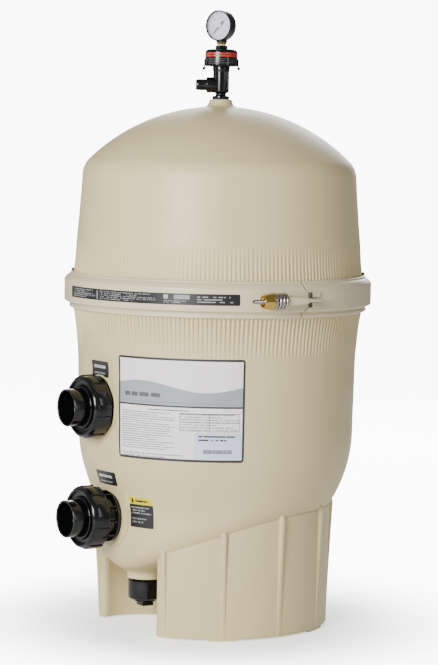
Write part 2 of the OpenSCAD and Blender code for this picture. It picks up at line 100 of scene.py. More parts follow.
def fillet(points: Sequence[Point2], radius: float, steps: int = 4, closed: bool = True) -> list[Point2]:
    """Rounds the corners of an outline.

    Args:
        points: Corner points in order.
        radius: Radius of every corner, kept under 45% of the shorter side.
        steps: Segments on each rounded corner.
        closed: True for a loop, False for an open line whose ends stay.

    Returns:
        The rounded outline.
    """
    out: list[Point2] = []
    count = len(points)
    for i, here in enumerate(points):
        if not closed and i in (0, count - 1):
            out.append(here)
            continue
        p = np.array(here, float)
        a = np.array(points[i - 1], float) - p
        b = np.array(points[(i + 1) % count], float) - p
        la, lb = np.linalg.norm(a), np.linalg.norm(b)
        cut = min(radius, 0.45 * la, 0.45 * lb)
        start, end = p + a / la * cut, p + b / lb * cut
        for k in range(steps + 1):
            t = k / steps
            q = (1 - t) ** 2 * start + 2 * t * (1 - t) * p + t * t * end
            out.append((float(q[0]), float(q[1])))
    return out


def lathe(profile: Sequence[Point2], segments: int = 96, start: float = 0.0,
          sweep: float = 360.0) -> bmesh.types.BMesh:
    """Turns a closed outline of (radius, height) points, in millimetres, about Z.

    Args:
        profile: Closed outline. Points on the axis become poles.
        segments: Steps of the turn.
        start: First azimuth in degrees, from -Y towards +X.
        sweep: Angle of the turn in degrees; under 360 the ends are capped.

    Returns:
        A bmesh in metres.
    """
    bm = bmesh.new()
    full = sweep >= 359.999
    turns = segments if full else segments + 1
    rings = []
    poles: dict[int, bmesh.types.BMVert] = {}
    for k in range(turns):
        a = math.radians(start + sweep * k / segments)
        ring = []
        for i, (r, z) in enumerate(profile):
            if r < 1e-6:
                if i not in poles:
                    poles[i] = bm.verts.new((0, 0, z * MM))
                ring.append(poles[i])
            else:
                ring.append(bm.verts.new((r * MM * math.sin(a), -r * MM * math.cos(a), z * MM)))
        rings.append(ring)
    size = len(profile)
    for k in range(segments):
        one, two = rings[k], rings[(k + 1) % turns]
        for i in range(size):
            j = (i + 1) % size
            corners = [one[i], two[i], two[j], one[j]]
            unique = list(dict.fromkeys(corners))
            if len(unique) > 2:
                bm.faces.new(unique)
    if not full:
        bm.faces.new(rings[0])
        bm.faces.new(rings[-1])
    bmesh.ops.recalc_face_normals(bm, faces=bm.faces)
    return bm


def grid_bmesh(rows: np.ndarray, loop: bool = True, caps: bool = True) -> bmesh.types.BMesh:
    """Skins rows of points into a closed shape.

    Args:
        rows: Array (row, point, 3) in metres.
        loop: True where each row closes on itself.
        caps: True to close the first and last row with a face each.

    Returns:
        A bmesh with outward faces.
    """
    bm = bmesh.new()
    made = [[bm.verts.new(p) for p in row] for row in rows]
    n = len(made[0])
    span = n if loop else n - 1
    for one, two in zip(made, made[1:]):
        for i in range(span):
            j = (i + 1) % n
            bm.faces.new((one[i], one[j], two[j], two[i]))
    if caps:
        bm.faces.new(made[0])
        bm.faces.new(made[-1])
    bmesh.ops.recalc_face_normals(bm, faces=bm.faces)
    return bm


def block(low: Sequence[float], high: Sequence[float], bevel: float = 1.0) -> bmesh.types.BMesh:
    """A box with rounded edges between two corners, in millimetres."""
    bm = bmesh.new()
    bmesh.ops.create_cube(bm, size=1)
    lo, hi = Vector(low) * MM, Vector(high) * MM
    bmesh.ops.transform(bm, matrix=Matrix.Translation((lo + hi) / 2) @ Matrix.Diagonal((*(hi - lo), 1)),
                        verts=bm.verts)
    bmesh.ops.bevel(bm, geom=bm.edges, offset=bevel * MM, segments=3, affect="EDGES", profile=0.6)
    return bm


def prism(outline: Sequence[Point2], low: float, high: float, bevel: float = 0.0) -> bmesh.types.BMesh:
    """An outline in X and Y, in millimetres, raised from z low to z high."""
    bm = bmesh.new()
    bottom = [bm.verts.new((x * MM, y * MM, low * MM)) for x, y in outline]
    top = [bm.verts.new((x * MM, y * MM, high * MM)) for x, y in outline]
    bm.faces.new(bottom)
    bm.faces.new(top)
    count = len(outline)
    for i in range(count):
        j = (i + 1) % count
        bm.faces.new((bottom[i], bottom[j], top[j], top[i]))
    bmesh.ops.recalc_face_normals(bm, faces=bm.faces)
    if bevel:
        bmesh.ops.bevel(bm, geom=bm.edges, offset=bevel * MM, segments=3, affect="EDGES", profile=0.6)
    return bm


def moved(bm: bmesh.types.BMesh, *matrices: Matrix) -> bmesh.types.BMesh:
    """Moves a bmesh by the product of matrices, the last one first."""
    product = Matrix.Identity(4)
    for matrix in matrices:
        product = product @ matrix
    bmesh.ops.transform(bm, matrix=product, verts=bm.verts)
    return bm


def joined(parts: Iterable[bmesh.types.BMesh]) -> bmesh.types.BMesh:
    """Puts several bmeshes into the first of them and frees the others."""
    parts = list(parts)
    whole = parts[0]
    for part in parts[1:]:
        carrier = bpy.data.meshes.new("carrier")
        part.to_mesh(carrier)
        part.free()
        whole.from_mesh(carrier)
        bpy.data.meshes.remove(carrier)
    return whole


def turn(degrees: float) -> Matrix:
    """Turn about the vertical axis, from -Y towards +X."""
    return Matrix.Rotation(math.radians(degrees), 4, "Z")


def at_port(height: float) -> Matrix:
    """Frame of a port: local Z points along -Y, local X stays, local Y points up."""
    return Matrix.Translation((0, 0, height * MM)) @ Matrix.Rotation(math.radians(90), 4, "X")


def shift(x: float, y: float, z: float) -> Matrix:
    """A move in millimetres."""
    return Matrix.Translation((x * MM, y * MM, z * MM))


# ---------------------------------------------------------------- geometry nodes


def new_tree(name: str, inputs: Sequence[tuple[str, str, object]]) -> bpy.types.NodeTree:
    """Starts a geometry node tree.

    Args:
        name: Name of the tree.
        inputs: (name, socket type, default) for each input after the geometry.

    Returns:
        The tree, with its interface made.
    """
    tree = bpy.data.node_groups.new(name, "GeometryNodeTree")
    tree.interface.new_socket("Geometry", in_out="INPUT", socket_type="NodeSocketGeometry")
    for label, kind, default in inputs:
        socket = tree.interface.new_socket(label, in_out="INPUT", socket_type=kind)
        if default is not None:
            socket.default_value = default
    tree.interface.new_socket("Geometry", in_out="OUTPUT", socket_type="NodeSocketGeometry")
    return tree


def copies_tree() -> bpy.types.NodeTree:
    """Tree that repeats a shape round the Z axis, at a first angle and a step."""
    tree = new_tree("copies_round_axis", (
        ("Count", "NodeSocketInt", 8),
        ("First", "NodeSocketFloat", 0.0),
        ("Step", "NodeSocketFloat", 0.1),
        ("Material", "NodeSocketMaterial", None),
    ))
    n, links = tree.nodes, tree.links
    enter, leave = n.new("NodeGroupInput"), n.new("NodeGroupOutput")
    line = n.new("GeometryNodeMeshLine")
    line.inputs["Offset"].default_value = (0, 0, 0)
    index, times, plus = n.new("GeometryNodeInputIndex"), n.new("ShaderNodeMath"), n.new("ShaderNodeMath")
    times.operation, plus.operation = "MULTIPLY", "ADD"
    angle, place = n.new("ShaderNodeCombineXYZ"), n.new("GeometryNodeInstanceOnPoints")
    real, paint = n.new("GeometryNodeRealizeInstances"), n.new("GeometryNodeSetMaterial")
    links.new(enter.outputs["Count"], line.inputs["Count"])
    links.new(index.outputs[0], times.inputs[0])
    links.new(enter.outputs["Step"], times.inputs[1])
    links.new(times.outputs[0], plus.inputs[0])
    links.new(enter.outputs["First"], plus.inputs[1])
    links.new(plus.outputs[0], angle.inputs["Z"])
    links.new(line.outputs["Mesh"], place.inputs["Points"])
    links.new(enter.outputs["Geometry"], place.inputs["Instance"])
    links.new(angle.outputs[0], place.inputs["Rotation"])
    links.new(place.outputs[0], real.inputs[0])
    links.new(real.outputs[0], paint.inputs["Geometry"])
    links.new(enter.outputs["Material"], paint.inputs["Material"])
    links.new(paint.outputs[0], leave.inputs[0])
    return tree


def coil_tree() -> bpy.types.NodeTree:
    """Tree that winds a round wire into a coil along Z."""
    tree = new_tree("wound_coil", (
        ("Turns", "NodeSocketFloat", 4.0),
        ("Radius", "NodeSocketFloat", 0.01),
        ("Length", "NodeSocketFloat", 0.03),
        ("Wire", "NodeSocketFloat", 0.002),
        ("Material", "NodeSocketMaterial", None),
    ))
    n, links = tree.nodes, tree.links
    enter, leave = n.new("NodeGroupInput"), n.new("NodeGroupOutput")
    spiral, ring = n.new("GeometryNodeCurveSpiral"), n.new("GeometryNodeCurvePrimitiveCircle")
    spiral.inputs["Resolution"].default_value = 40
    ring.inputs["Resolution"].default_value = 14
    skin, paint = n.new("GeometryNodeCurveToMesh"), n.new("GeometryNodeSetMaterial")
    skin.inputs["Fill Caps"].default_value = True
    smooth = n.new("GeometryNodeSetShadeSmooth")
    links.new(enter.outputs["Turns"], spiral.inputs["Rotations"])
    links.new(enter.outputs["Radius"], spiral.inputs["Start Radius"])
    links.new(enter.outputs["Radius"], spiral.inputs["End Radius"])
    links.new(enter.outputs["Length"], spiral.inputs["Height"])
    links.new(enter.outputs["Wire"], ring.inputs["Radius"])
    links.new(spiral.outputs[0], skin.inputs["Curve"])
    links.new(ring.outputs[0], skin.inputs["Profile Curve"])
    real = n.new("GeometryNodeRealizeInstances")
    links.new(skin.outputs[0], smooth.inputs[0])
    links.new(smooth.outputs[0], real.inputs[0])
    links.new(real.outputs[0], paint.inputs["Geometry"])
    links.new(enter.outputs["Material"], paint.inputs["Material"])
    links.new(paint.outputs[0], leave.inputs[0])
    return tree


def grown(bm: Optional[bmesh.types.BMesh], tree: bpy.types.NodeTree, values: dict[str, object]) -> bmesh.types.BMesh:
    """Runs a geometry node tree on a shape.

    Args:
        bm: Shape that the tree repeats, or None where the tree makes its own.
        tree: The tree.
        values: Input name to value.

    Returns:
        The result as a bmesh.
    """
    mesh = bpy.data.meshes.new("seed")
    if bm is not None:
        bm.to_mesh(mesh)
        bm.free()
    holder = bpy.data.objects.new("seed", mesh)
    bpy.context.scene.collection.objects.link(holder)
    modifier = holder.modifiers.new("grow", "NODES")
    modifier.node_group = tree
    for item in tree.interface.items_tree:
        if item.in_out == "INPUT" and item.name in values:
            modifier[item.identifier] = values[item.name]
    bpy.context.view_layer.update()
    graph = bpy.context.evaluated_depsgraph_get()
    result = bpy.data.meshes.new_from_object(holder.evaluated_get(graph))
    out = bmesh.new()
    out.from_mesh(result)
    bpy.data.objects.remove(holder)
    bpy.data.meshes.remove(result)
    for layer_mesh in [m for m in bpy.data.meshes if m.name.startswith("seed") and not m.users]:
        bpy.data.meshes.remove(layer_mesh)
    for f in out.faces:
        f.material_index = 0
    return out


# ---------------------------------------------------------------- shader groups


@dataclass(frozen=True)
class Wire:
    """Short hand for building one shader node tree."""

    tree: bpy.types.NodeTree

    def add(self, kind: str, **settings: object) -> bpy.types.Node:
        """Adds a node; settings whose name is an input's set that input."""
        node = self.tree.nodes.new(kind)
        for key, value in settings.items():
            label = key.replace("_", " ").title()
            if hasattr(node, key) and key not in ("inputs", "outputs"):
                setattr(node, key, value)
            elif label in node.inputs:
                node.inputs[label].default_value = value
        return node

    def math(self, operation: str, *values: object) -> bpy.types.NodeSocket:
        """A math node on sockets or numbers; returns its output."""
        node = self.tree.nodes.new("ShaderNodeMath")
        node.operation = operation
        for i, value in enumerate(values):
            self.put(value, node.inputs[i])
        return node.outputs[0]

    def put(self, value: object, socket: bpy.types.NodeSocket) -> None:
        """Links a socket, or sets a number or colour."""
        if isinstance(value, bpy.types.NodeSocket):
            self.tree.links.new(value, socket)
        else:
            socket.default_value = value

    def mix(self, mask: object, one: object, two: object) -> bpy.types.NodeSocket:
        """Mixes two colours by a mask."""
        node = self.tree.nodes.new("ShaderNodeMix")
        node.data_type = "RGBA"
        self.put(mask, node.inputs[0])
        self.put(one, node.inputs[6])
        self.put(two, node.inputs[7])
        return node.outputs[2]

    def group(self, group: bpy.types.NodeTree, **values: object) -> bpy.types.Node:
        """Places a shader group and sets its inputs by name."""
        node = self.tree.nodes.new("ShaderNodeGroup")
        node.node_tree = group
        for key, value in values.items():
            self.put(value, node.inputs[key])
        return node


def shader_group(name: str, inputs: Sequence[tuple[str, str, object]],
                 outputs: Sequence[tuple[str, str]]) -> bpy.types.NodeTree:
    """Starts a shader node group with named sockets."""
    tree = bpy.data.node_groups.new(name, "ShaderNodeTree")
    for label, kind, default in inputs:
        socket = tree.interface.new_socket(label, in_out="INPUT", socket_type=kind)
        socket.default_value = default
    for label, kind in outputs:
        tree.interface.new_socket(label, in_out="OUTPUT", socket_type=kind)
    return tree


FLOAT = "NodeSocketFloat"


def grain_group() -> bpy.types.NodeTree:
    """Moulded grain: a slow cloud, a fine grain and a height."""
    tree = shader_group("moulded_grain", (("Cloud", FLOAT, 6.0), ("Fine", FLOAT, 900.0)),
                        (("Cloud", FLOAT), ("Grain", FLOAT), ("Height", FLOAT)))
    w = Wire(tree)
    enter, leave = w.add("NodeGroupInput"), w.add("NodeGroupOutput")
    place = w.add("ShaderNodeTexCoord")
    cloud, fine = w.add("ShaderNodeTexNoise", detail=3.0), w.add("ShaderNodeTexNoise", detail=2.0)
    for noise, scale in ((cloud, "Cloud"), (fine, "Fine")):
        tree.links.new(place.outputs["Object"], noise.inputs["Vector"])
        tree.links.new(enter.outputs[scale], noise.inputs["Scale"])
    tree.links.new(cloud.outputs[0], leave.inputs["Cloud"])
    tree.links.new(fine.outputs[0], leave.inputs["Grain"])
    tree.links.new(fine.outputs[0], leave.inputs["Height"])
    return tree


def wear_and_shade_group() -> bpy.types.NodeTree:
    """Masks for worn edges and for painted shade in hollows, from the surface's pointiness."""
    tree = shader_group("edges_and_hollows", (("Noise Scale", FLOAT, 40.0),), (("Edge", FLOAT), ("Hollow", FLOAT)))
    w = Wire(tree)
    enter, leave = w.add("NodeGroupInput"), w.add("NodeGroupOutput")
    shape, place = w.add("ShaderNodeNewGeometry"), w.add("ShaderNodeTexCoord")
    noise = w.add("ShaderNodeTexNoise", detail=4.0)
    tree.links.new(place.outputs["Object"], noise.inputs["Vector"])
    tree.links.new(enter.outputs[0], noise.inputs["Scale"])
    # Edge marks rubbed wear on edges; Hollow marks concave spots that get painted shade.
    for output, low, high in (("Edge", 0.52, 0.62), ("Hollow", 0.49, 0.42)):
        ramp = w.add("ShaderNodeMapRange")
        ramp.inputs["From Min"].default_value = low
        ramp.inputs["From Max"].default_value = high
        tree.links.new(shape.outputs["Pointiness"], ramp.inputs["Value"])
        tree.links.new(w.math("MULTIPLY", ramp.outputs[0], noise.outputs[0]), leave.inputs[output])
    return tree


def ink_group() -> bpy.types.NodeTree:
    """Rows of dashes that read as small print, on a box of the piece's UV map."""
    tree = shader_group("small_print", (
        ("Left", FLOAT, 0.0), ("Right", FLOAT, 1.0), ("Low", FLOAT, 0.0), ("High", FLOAT, 1.0),
        ("Rows", FLOAT, 10.0), ("Words", FLOAT, 30.0), ("Weight", FLOAT, 0.5)), (("Ink", FLOAT),))
    w = Wire(tree)
    enter, leave = w.add("NodeGroupInput"), w.add("NodeGroupOutput")
    get = enter.outputs
    uv, split = w.add("ShaderNodeUVMap"), w.add("ShaderNodeSeparateXYZ")
    tree.links.new(uv.outputs[0], split.inputs[0])
    u, v = split.outputs[0], split.outputs[1]
    inside = w.math("MULTIPLY", w.math("MULTIPLY", w.math("GREATER_THAN", u, get["Left"]),
                                       w.math("LESS_THAN", u, get["Right"])),
                    w.math("MULTIPLY", w.math("GREATER_THAN", v, get["Low"]), w.math("LESS_THAN", v, get["High"])))
    down = w.math("DIVIDE", w.math("SUBTRACT", get["High"], v), w.math("SUBTRACT", get["High"], get["Low"]))
    rows = w.math("MULTIPLY", down, get["Rows"])
    row, within = w.math("FLOOR", rows), w.math("FRACT", rows)
    line = w.math("MULTIPLY", w.math("GREATER_THAN", within, 0.28), w.math("LESS_THAN", within, 0.72))
    seed = w.add("ShaderNodeCombineXYZ")
    w.put(w.math("MULTIPLY", u, get["Words"]), seed.inputs[0])
    w.put(w.math("MULTIPLY", row, 7.31), seed.inputs[1])
    noise = w.add("ShaderNodeTexNoise", detail=1.0, scale=1.0)
    tree.links.new(seed.outputs[0], noise.inputs["Vector"])
    words = w.math("LESS_THAN", noise.outputs[0], get["Weight"])
    end_noise = w.add("ShaderNodeTexWhiteNoise", noise_dimensions="1D")
    tree.links.new(row, end_noise.inputs["W"])
    span = w.math("SUBTRACT", get["Right"], get["Left"])
    share = w.math("ADD", 0.62, w.math("MULTIPLY", end_noise.outputs[0], 0.5))
    reach = w.math("ADD", get["Left"], w.math("MULTIPLY", span, share))
    short = w.math("LESS_THAN", u, reach)
    ink = w.math("MULTIPLY", w.math("MULTIPLY", inside, line), w.math("MULTIPLY", words, short))
    tree.links.new(ink, leave.inputs["Ink"])
    return tree


def box_group() -> bpy.types.NodeTree:
    """Mask of a box on the piece's UV map."""
    tree = shader_group("printed_box", (("Left", FLOAT, 0.0), ("Right", FLOAT, 1.0),
                                        ("Low", FLOAT, 0.0), ("High", FLOAT, 1.0)),
                        (("Mask", FLOAT),))
    w = Wire(tree)
    enter, leave = w.add("NodeGroupInput"), w.add("NodeGroupOutput")
    get = enter.outputs
    uv, split = w.add("ShaderNodeUVMap"), w.add("ShaderNodeSeparateXYZ")
    tree.links.new(uv.outputs[0], split.inputs[0])
    u, v = split.outputs[0], split.outputs[1]
    across = w.math("MULTIPLY", w.math("GREATER_THAN", u, get["Left"]), w.math("LESS_THAN", u, get["Right"]))
    up = w.math("MULTIPLY", w.math("GREATER_THAN", v, get["Low"]), w.math("LESS_THAN", v, get["High"]))
    tree.links.new(w.math("MULTIPLY", across, up), leave.inputs["Mask"])
    return tree


GRAIN, WEAR_AND_SHADE, INK, BOX = grain_group(), wear_and_shade_group(), ink_group(), box_group()
COPIES, COIL = copies_tree(), coil_tree()
Colour = tuple[float, float, float]


def rgba(colour: Colour) -> tuple[float, float, float, float]:
    """A colour with full alpha."""
    return (*colour, 1.0)


def shade(colour: Colour, factor: float) -> Colour:
    """A lighter or darker copy of a colour."""
    return tuple(min(1.0, c * factor) for c in colour)


@dataclass(frozen=True)
class Finish:
    """A finish of moulded plastic, rubber or metal."""

    name: str
    colour: Colour
    roughness: float = 0.45
    metallic: float = 0.0
    specular: float = 0.5
    coat: float = 0.0
    cloud: float = 6.0
    fine: float = 900.0
    mottle: float = 0.05
    bump: float = 0.04
    edge: float = 0.3
    edge_colour: Optional[Colour] = None
    # Strength of the painted shade that darkens hollows.
    hollow: float = 0.3
    alpha: float = 1.0
    subsurface: float = 0.0

    def build(self) -> bpy.types.Material:
        """Makes the material.

        Returns:
            The new material.
        """
        material = bpy.data.materials.new(self.name)
        material.use_nodes = True
        w = Wire(material.node_tree)
        shader = material.node_tree.nodes["Principled BSDF"]
        grain = w.group(GRAIN, Cloud=self.cloud, Fine=self.fine)
        wear_and_shade = w.group(WEAR_AND_SHADE)
        edge_colour = self.edge_colour or shade(self.colour, 1.25)
        base = w.mix(grain.outputs["Cloud"], rgba(shade(self.colour, 1 - self.mottle)),
                     rgba(shade(self.colour, 1 + self.mottle)))
        worn = w.mix(w.math("MULTIPLY", wear_and_shade.outputs["Edge"], self.edge), base, rgba(edge_colour))
        # Painted shade: hollows darken towards 45% of the colour.
        hollow_painted_shade = w.mix(w.math("MULTIPLY", wear_and_shade.outputs["Hollow"], self.hollow), worn, rgba(shade(self.colour, 0.45)))
        w.put(hollow_painted_shade, shader.inputs["Base Color"])
        rough = w.add("ShaderNodeMapRange")
        rough.inputs["To Min"].default_value = self.roughness * 0.85
        rough.inputs["To Max"].default_value = min(1.0, self.roughness * 1.2)
        w.put(grain.outputs["Cloud"], rough.inputs["Value"])
        w.put(rough.outputs[0], shader.inputs["Roughness"])
        bump = w.add("ShaderNodeBump", strength=self.bump, distance=0.0004)
        w.put(grain.outputs["Height"], bump.inputs["Height"])
        w.put(bump.outputs[0], shader.inputs["Normal"])
        shader.inputs["Metallic"].default_value = self.metallic
        shader.inputs["Specular IOR Level"].default_value = self.specular
        shader.inputs["Coat Weight"].default_value = self.coat
        shader.inputs["Alpha"].default_value = self.alpha
        shader.inputs["Subsurface Weight"].default_value = self.subsurface
        return material


TANK_BEIGE: Colour = (0.605, 0.500, 0.262)
CLAMP_GREY: Colour = (0.610, 0.530, 0.345)
FINISHES = {
    Slot.TANK: Finish("tank_beige_moulding", TANK_BEIGE, roughness=0.42, mottle=0.02, bump=0.10, fine=700.0,
                      edge=0.1, hollow=0.55),
    Slot.CLAMP: Finish("clamp_grey_moulding", CLAMP_GREY, roughness=0.36, mottle=0.025, bump=0.08, edge=0.12,
                       hollow=0.5),
    Slot.BLACK: Finish("black_gloss_moulding", (0.0022, 0.0026, 0.003), roughness=0.15, specular=0.42,
                       mottle=0.2, bump=0.05,
                       edge=0.15, edge_colour=(0.03, 0.033, 0.036), hollow=0.1),
    Slot.RUBBER: Finish("seal_rubber", (0.012, 0.012, 0.012), roughness=0.7, bump=0.2, fine=1500.0),
    Slot.STEEL: Finish("bright_steel", (0.40, 0.36, 0.335), roughness=0.24, metallic=1.0, mottle=0.08, bump=0.08,
                       fine=1800.0),
    Slot.BRASS: Finish("turned_brass", (0.50, 0.34, 0.085), roughness=0.2, metallic=1.0, mottle=0.12, bump=0.1,
                       fine=2200.0,
                       edge_colour=(0.95, 0.75, 0.35)),
    Slot.WHITE: Finish("white_moulding", (0.72, 0.72, 0.70), roughness=0.4),
    Slot.CAP: Finish("element_cap_urethane", (0.05, 0.12, 0.30), roughness=0.5, bump=0.15),
    Slot.PLEAT: Finish("pleated_polyester", (0.74, 0.74, 0.70), roughness=0.9, bump=0.6, fine=2600.0, specular=0.2),
    Slot.RED: Finish("red_print_band", (0.50, 0.022, 0.012), roughness=0.3, mottle=0.1),
    Slot.TAPE: Finish("thread_tape", (0.8, 0.8, 0.78), roughness=0.6, bump=0.5, fine=3000.0),
    Slot.LENS: Finish("clear_window", (0.95, 0.97, 1.0), roughness=0.03, alpha=0.12, bump=0.0, edge=0.0, hollow=0.0),
}
MATERIALS = {slot: finish.build() for slot, finish in FINISHES.items()}


@dataclass(frozen=True)
class Print:
    """One printed mark on a label, in parts of the label's width and height."""

    left: float
    right: float
    low: float
    high: float
    colour: Colour
    rows: float = 0.0
    words: float = 30.0
    weight: float = 0.5


@dataclass(frozen=True)
class LabelFinish:
    """A vinyl label with generic printed marks."""

    name: str
    ground: Colour
    prints: tuple[Print, ...]
    roughness: float = 0.32
    wave: Optional[Colour] = None

    def build(self) -> bpy.types.Material:
        """Makes the label's material on its UV map.

        Returns:
            The new material.
        """
        material = bpy.data.materials.new(self.name)
        material.use_nodes = True
        w = Wire(material.node_tree)
        shader = material.node_tree.nodes["Principled BSDF"]
        colour: object = rgba(self.ground)
        if self.wave:
            colour = w.mix(self.wave_mask(w), colour, rgba(self.wave))
        for mark in self.prints:
            if mark.rows:
                group = w.group(INK, Rows=mark.rows, Words=mark.words, Weight=mark.weight)
            else:
                group = w.group(BOX)
            for label in ("Left", "Right", "Low", "High"):
                group.inputs[label].default_value = getattr(mark, label.lower())
            colour = w.mix(group.outputs[0], colour, rgba(mark.colour))
        grain = w.group(GRAIN, Cloud=20.0, Fine=1500.0)
        faded = w.mix(w.math("MULTIPLY", grain.outputs["Cloud"], 0.06), colour, rgba(shade(self.ground, 0.8)))
        w.put(faded, shader.inputs["Base Color"])
        bump = w.add("ShaderNodeBump", strength=0.03, distance=0.0002)
        w.put(grain.outputs["Height"], bump.inputs["Height"])
        w.put(bump.outputs[0], shader.inputs["Normal"])
        shader.inputs["Roughness"].default_value = self.roughness
        return material

    def wave_mask(self, w: Wire) -> bpy.types.NodeSocket:
        """Mask under a soft hill line in the upper part of the label."""
        uv, split = w.add("ShaderNodeUVMap"), w.add("ShaderNodeSeparateXYZ")
        w.tree.links.new(uv.outputs[0], split.inputs[0])
        u, v = split.outputs[0], split.outputs[1]
        swell = w.math("MULTIPLY", w.math("COSINE", w.math("MULTIPLY", w.math("SUBTRACT", u, 0.206), 6.2)), 0.05)
        hill = w.math("ADD", 0.723, swell)
        return w.math("MULTIPLY", w.math("LESS_THAN", v, hill), w.math("GREATER_THAN", v, 0.53))


# ---------------------------------------------------------------- placing pieces


def place(name: str, bm: bmesh.types.BMesh, body: str, slot: Slot, replaces: Sequence[str] = (),
          material: Optional[bpy.types.Material] = None, sharp: float = 32.0) -> bpy.types.Object:
    """Turns a bmesh, drawn round the tank axis, into a finished piece.

    Args:
        name: Name of the piece.
        bm: Its shape, in metres, with the tank axis at the origin.
        body: CAD body it rides on.
        slot: Material slot of the record.
        replaces: CAD nodes it stands for.
        material: Its own material, or None for the slot's.
        sharp: Angle in degrees over which an edge stays sharp.

    Returns:
        The new object.
    """
    bmesh.ops.transform(bm, matrix=AXIS, verts=bm.verts)
    mesh = bpy.data.meshes.new(name)
    bm.to_mesh(mesh)
    bm.free()
    mesh.materials.clear()
    mesh.materials.append(material or MATERIALS[slot])
    mesh.shade_smooth()
    mesh.set_sharp_from_angle(angle=math.radians(sharp))
    piece = bpy.data.objects.new(name, mesh)
    bpy.context.scene.collection.objects.link(piece)
    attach(piece, body)
    if replaces:
        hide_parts(*replaces)
    log.info("%s: %d faces on %s", name, len(mesh.polygons), body)
    return piece


# ---------------------------------------------------------------- tank


def smooth_max(a: np.ndarray, b: np.ndarray, k: float) -> np.ndarray:
    """Rounded maximum of two fields."""
    h = np.clip(0.5 + 0.5 * (a - b) / k, 0, 1)
    return b + (a - b) * h + k * h * (1 - h)


def smooth_min(a: np.ndarray, b: np.ndarray, k: float) -> np.ndarray:
    """Rounded minimum of two fields."""
    return -smooth_max(-a, -b, k)


@dataclass
class TankForm:
    """Outer form of the lower tank as a distance field, in millimetres round the tank axis."""

    radius: float = 257.0
    bowl_z: float = 365.0
    front_r: float = 228.0
    drain_y: float = 150.0
    hopper_z: float = 88.0
    hopper_slope: float = 0.505
    column_y: float = 252.0
    column_lean: float = 19.0
    boss_r: float = 59.5
    boss_y: float = 229.5
    inlet_z: float = 416.0
    outlet_z: float = 213.0
    pocket_r: float = 54.0
    neck_r: float = 33.5
    neck_z: float = 91.5
    rim_z: float = 586.0
    flute_low: float = 517.5
    flute_depth: float = 3.4
    side: tuple[Point2, ...] = ((257.0, 365), (257.2, 395), (258.3, 430), (259.0, 480), (260.0, 510),
                                (261.8, 530), (263.6, 550), (265.8, 568), (269.0, 586), (272.0, 600))

    def side_radius(self, z: np.ndarray) -> np.ndarray:
        """Radius of the wall over the bowl, smoothed."""
        zs = np.array([p[1] for p in self.side])
        rs = np.array([p[0] for p in self.side])
        return sum(np.interp(z + d, zs, rs) for d in (-9, -4.5, 0, 4.5, 9)) / 5

    def flute(self, z: np.ndarray) -> np.ndarray:
        """Depth of the flutes at a height, fading downwards."""
        return self.flute_depth * np.clip((z - self.flute_low) / (self.rim_z - self.flute_low), 0, 1) ** 0.8

    def column(self, z: np.ndarray) -> np.ndarray:
        """Distance of the port column's flat face from the axis; it leans out to the rim."""
        return self.column_y + self.column_lean * smoothstep(np.clip((z - 478) / 100, 0, 1))

    def tank(self, p: np.ndarray) -> np.ndarray:
        """Field of the plain wall and round bottom."""
        rho = np.hypot(p[..., 0], p[..., 1])
        wall = rho - (self.side_radius(p[..., 2]) - self.flute(p[..., 2]))
        bowl = np.sqrt(rho ** 2 + (p[..., 2] - self.bowl_z) ** 2) - self.radius
        return np.where(p[..., 2] >= self.bowl_z, wall, bowl)

    def hopper(self, p: np.ndarray) -> np.ndarray:
        """Field of the upright front and the bottom that slopes to the drain."""
        reach = np.hypot(p[..., 0], p[..., 1] + self.drain_y)
        slope = (self.hopper_z + self.hopper_slope * reach - p[..., 2]) / math.hypot(1, self.hopper_slope)
        upright = np.hypot(p[..., 0], p[..., 1]) - self.front_r
        return smooth_max(smooth_max(upright, slope, 34.0), p[..., 2] - self.bowl_z, 20.0)

    def field(self, p: np.ndarray) -> np.ndarray:
        """The whole outer form; negative inside."""
        x, y, z = p[..., 0], p[..., 1], p[..., 2]
        f = smooth_min(self.tank(p), self.hopper(p), 16.0)
        f = smooth_max(f, -(y + self.column(z)), 3.0)
        boss = np.hypot(x, z - np.clip(z, self.outlet_z, 330)) - self.boss_r
        boss = smooth_max(smooth_max(boss, -y - self.boss_y, 3.0), y + 80.0, 3.0)
        f = smooth_min(f, boss, 3.0)
        pocket = smooth_max(np.hypot(x, z - self.inlet_z) - self.pocket_r, y + self.boss_y, 2.0)
        f = smooth_max(f, -pocket, 4.0)
        neck = smooth_max(np.hypot(x, y + self.drain_y) - self.neck_r, self.neck_z - z, 1.5)
        f = smooth_min(f, neck, 5.0)
        return smooth_max(f, self.neck_z - z, 1.5)

    def march(self, origin: np.ndarray, ray: np.ndarray, depth: float = 0.0) -> np.ndarray:
        """Distance along each ray, from inside, to the surface less a wall depth."""
        t = np.full(ray.shape[:-1], 30.0)
        for _ in range(110):
            t = t - (self.field(origin + ray * t[..., None]) + depth) * 0.8
        return t

    def underside(self, x: np.ndarray, y: np.ndarray) -> np.ndarray:
        """Height of the tank's underside over points of the floor plan."""
        low, high = np.full_like(x, 60.0), np.full_like(x, 330.0)
        for _ in range(30):
            mid = (low + high) / 2
            inside = self.field(np.stack([x, y, mid], -1)) < 0
            high, low = np.where(inside, mid, high), np.where(inside, low, mid)
        return (low + high) / 2


FORM = TankForm()


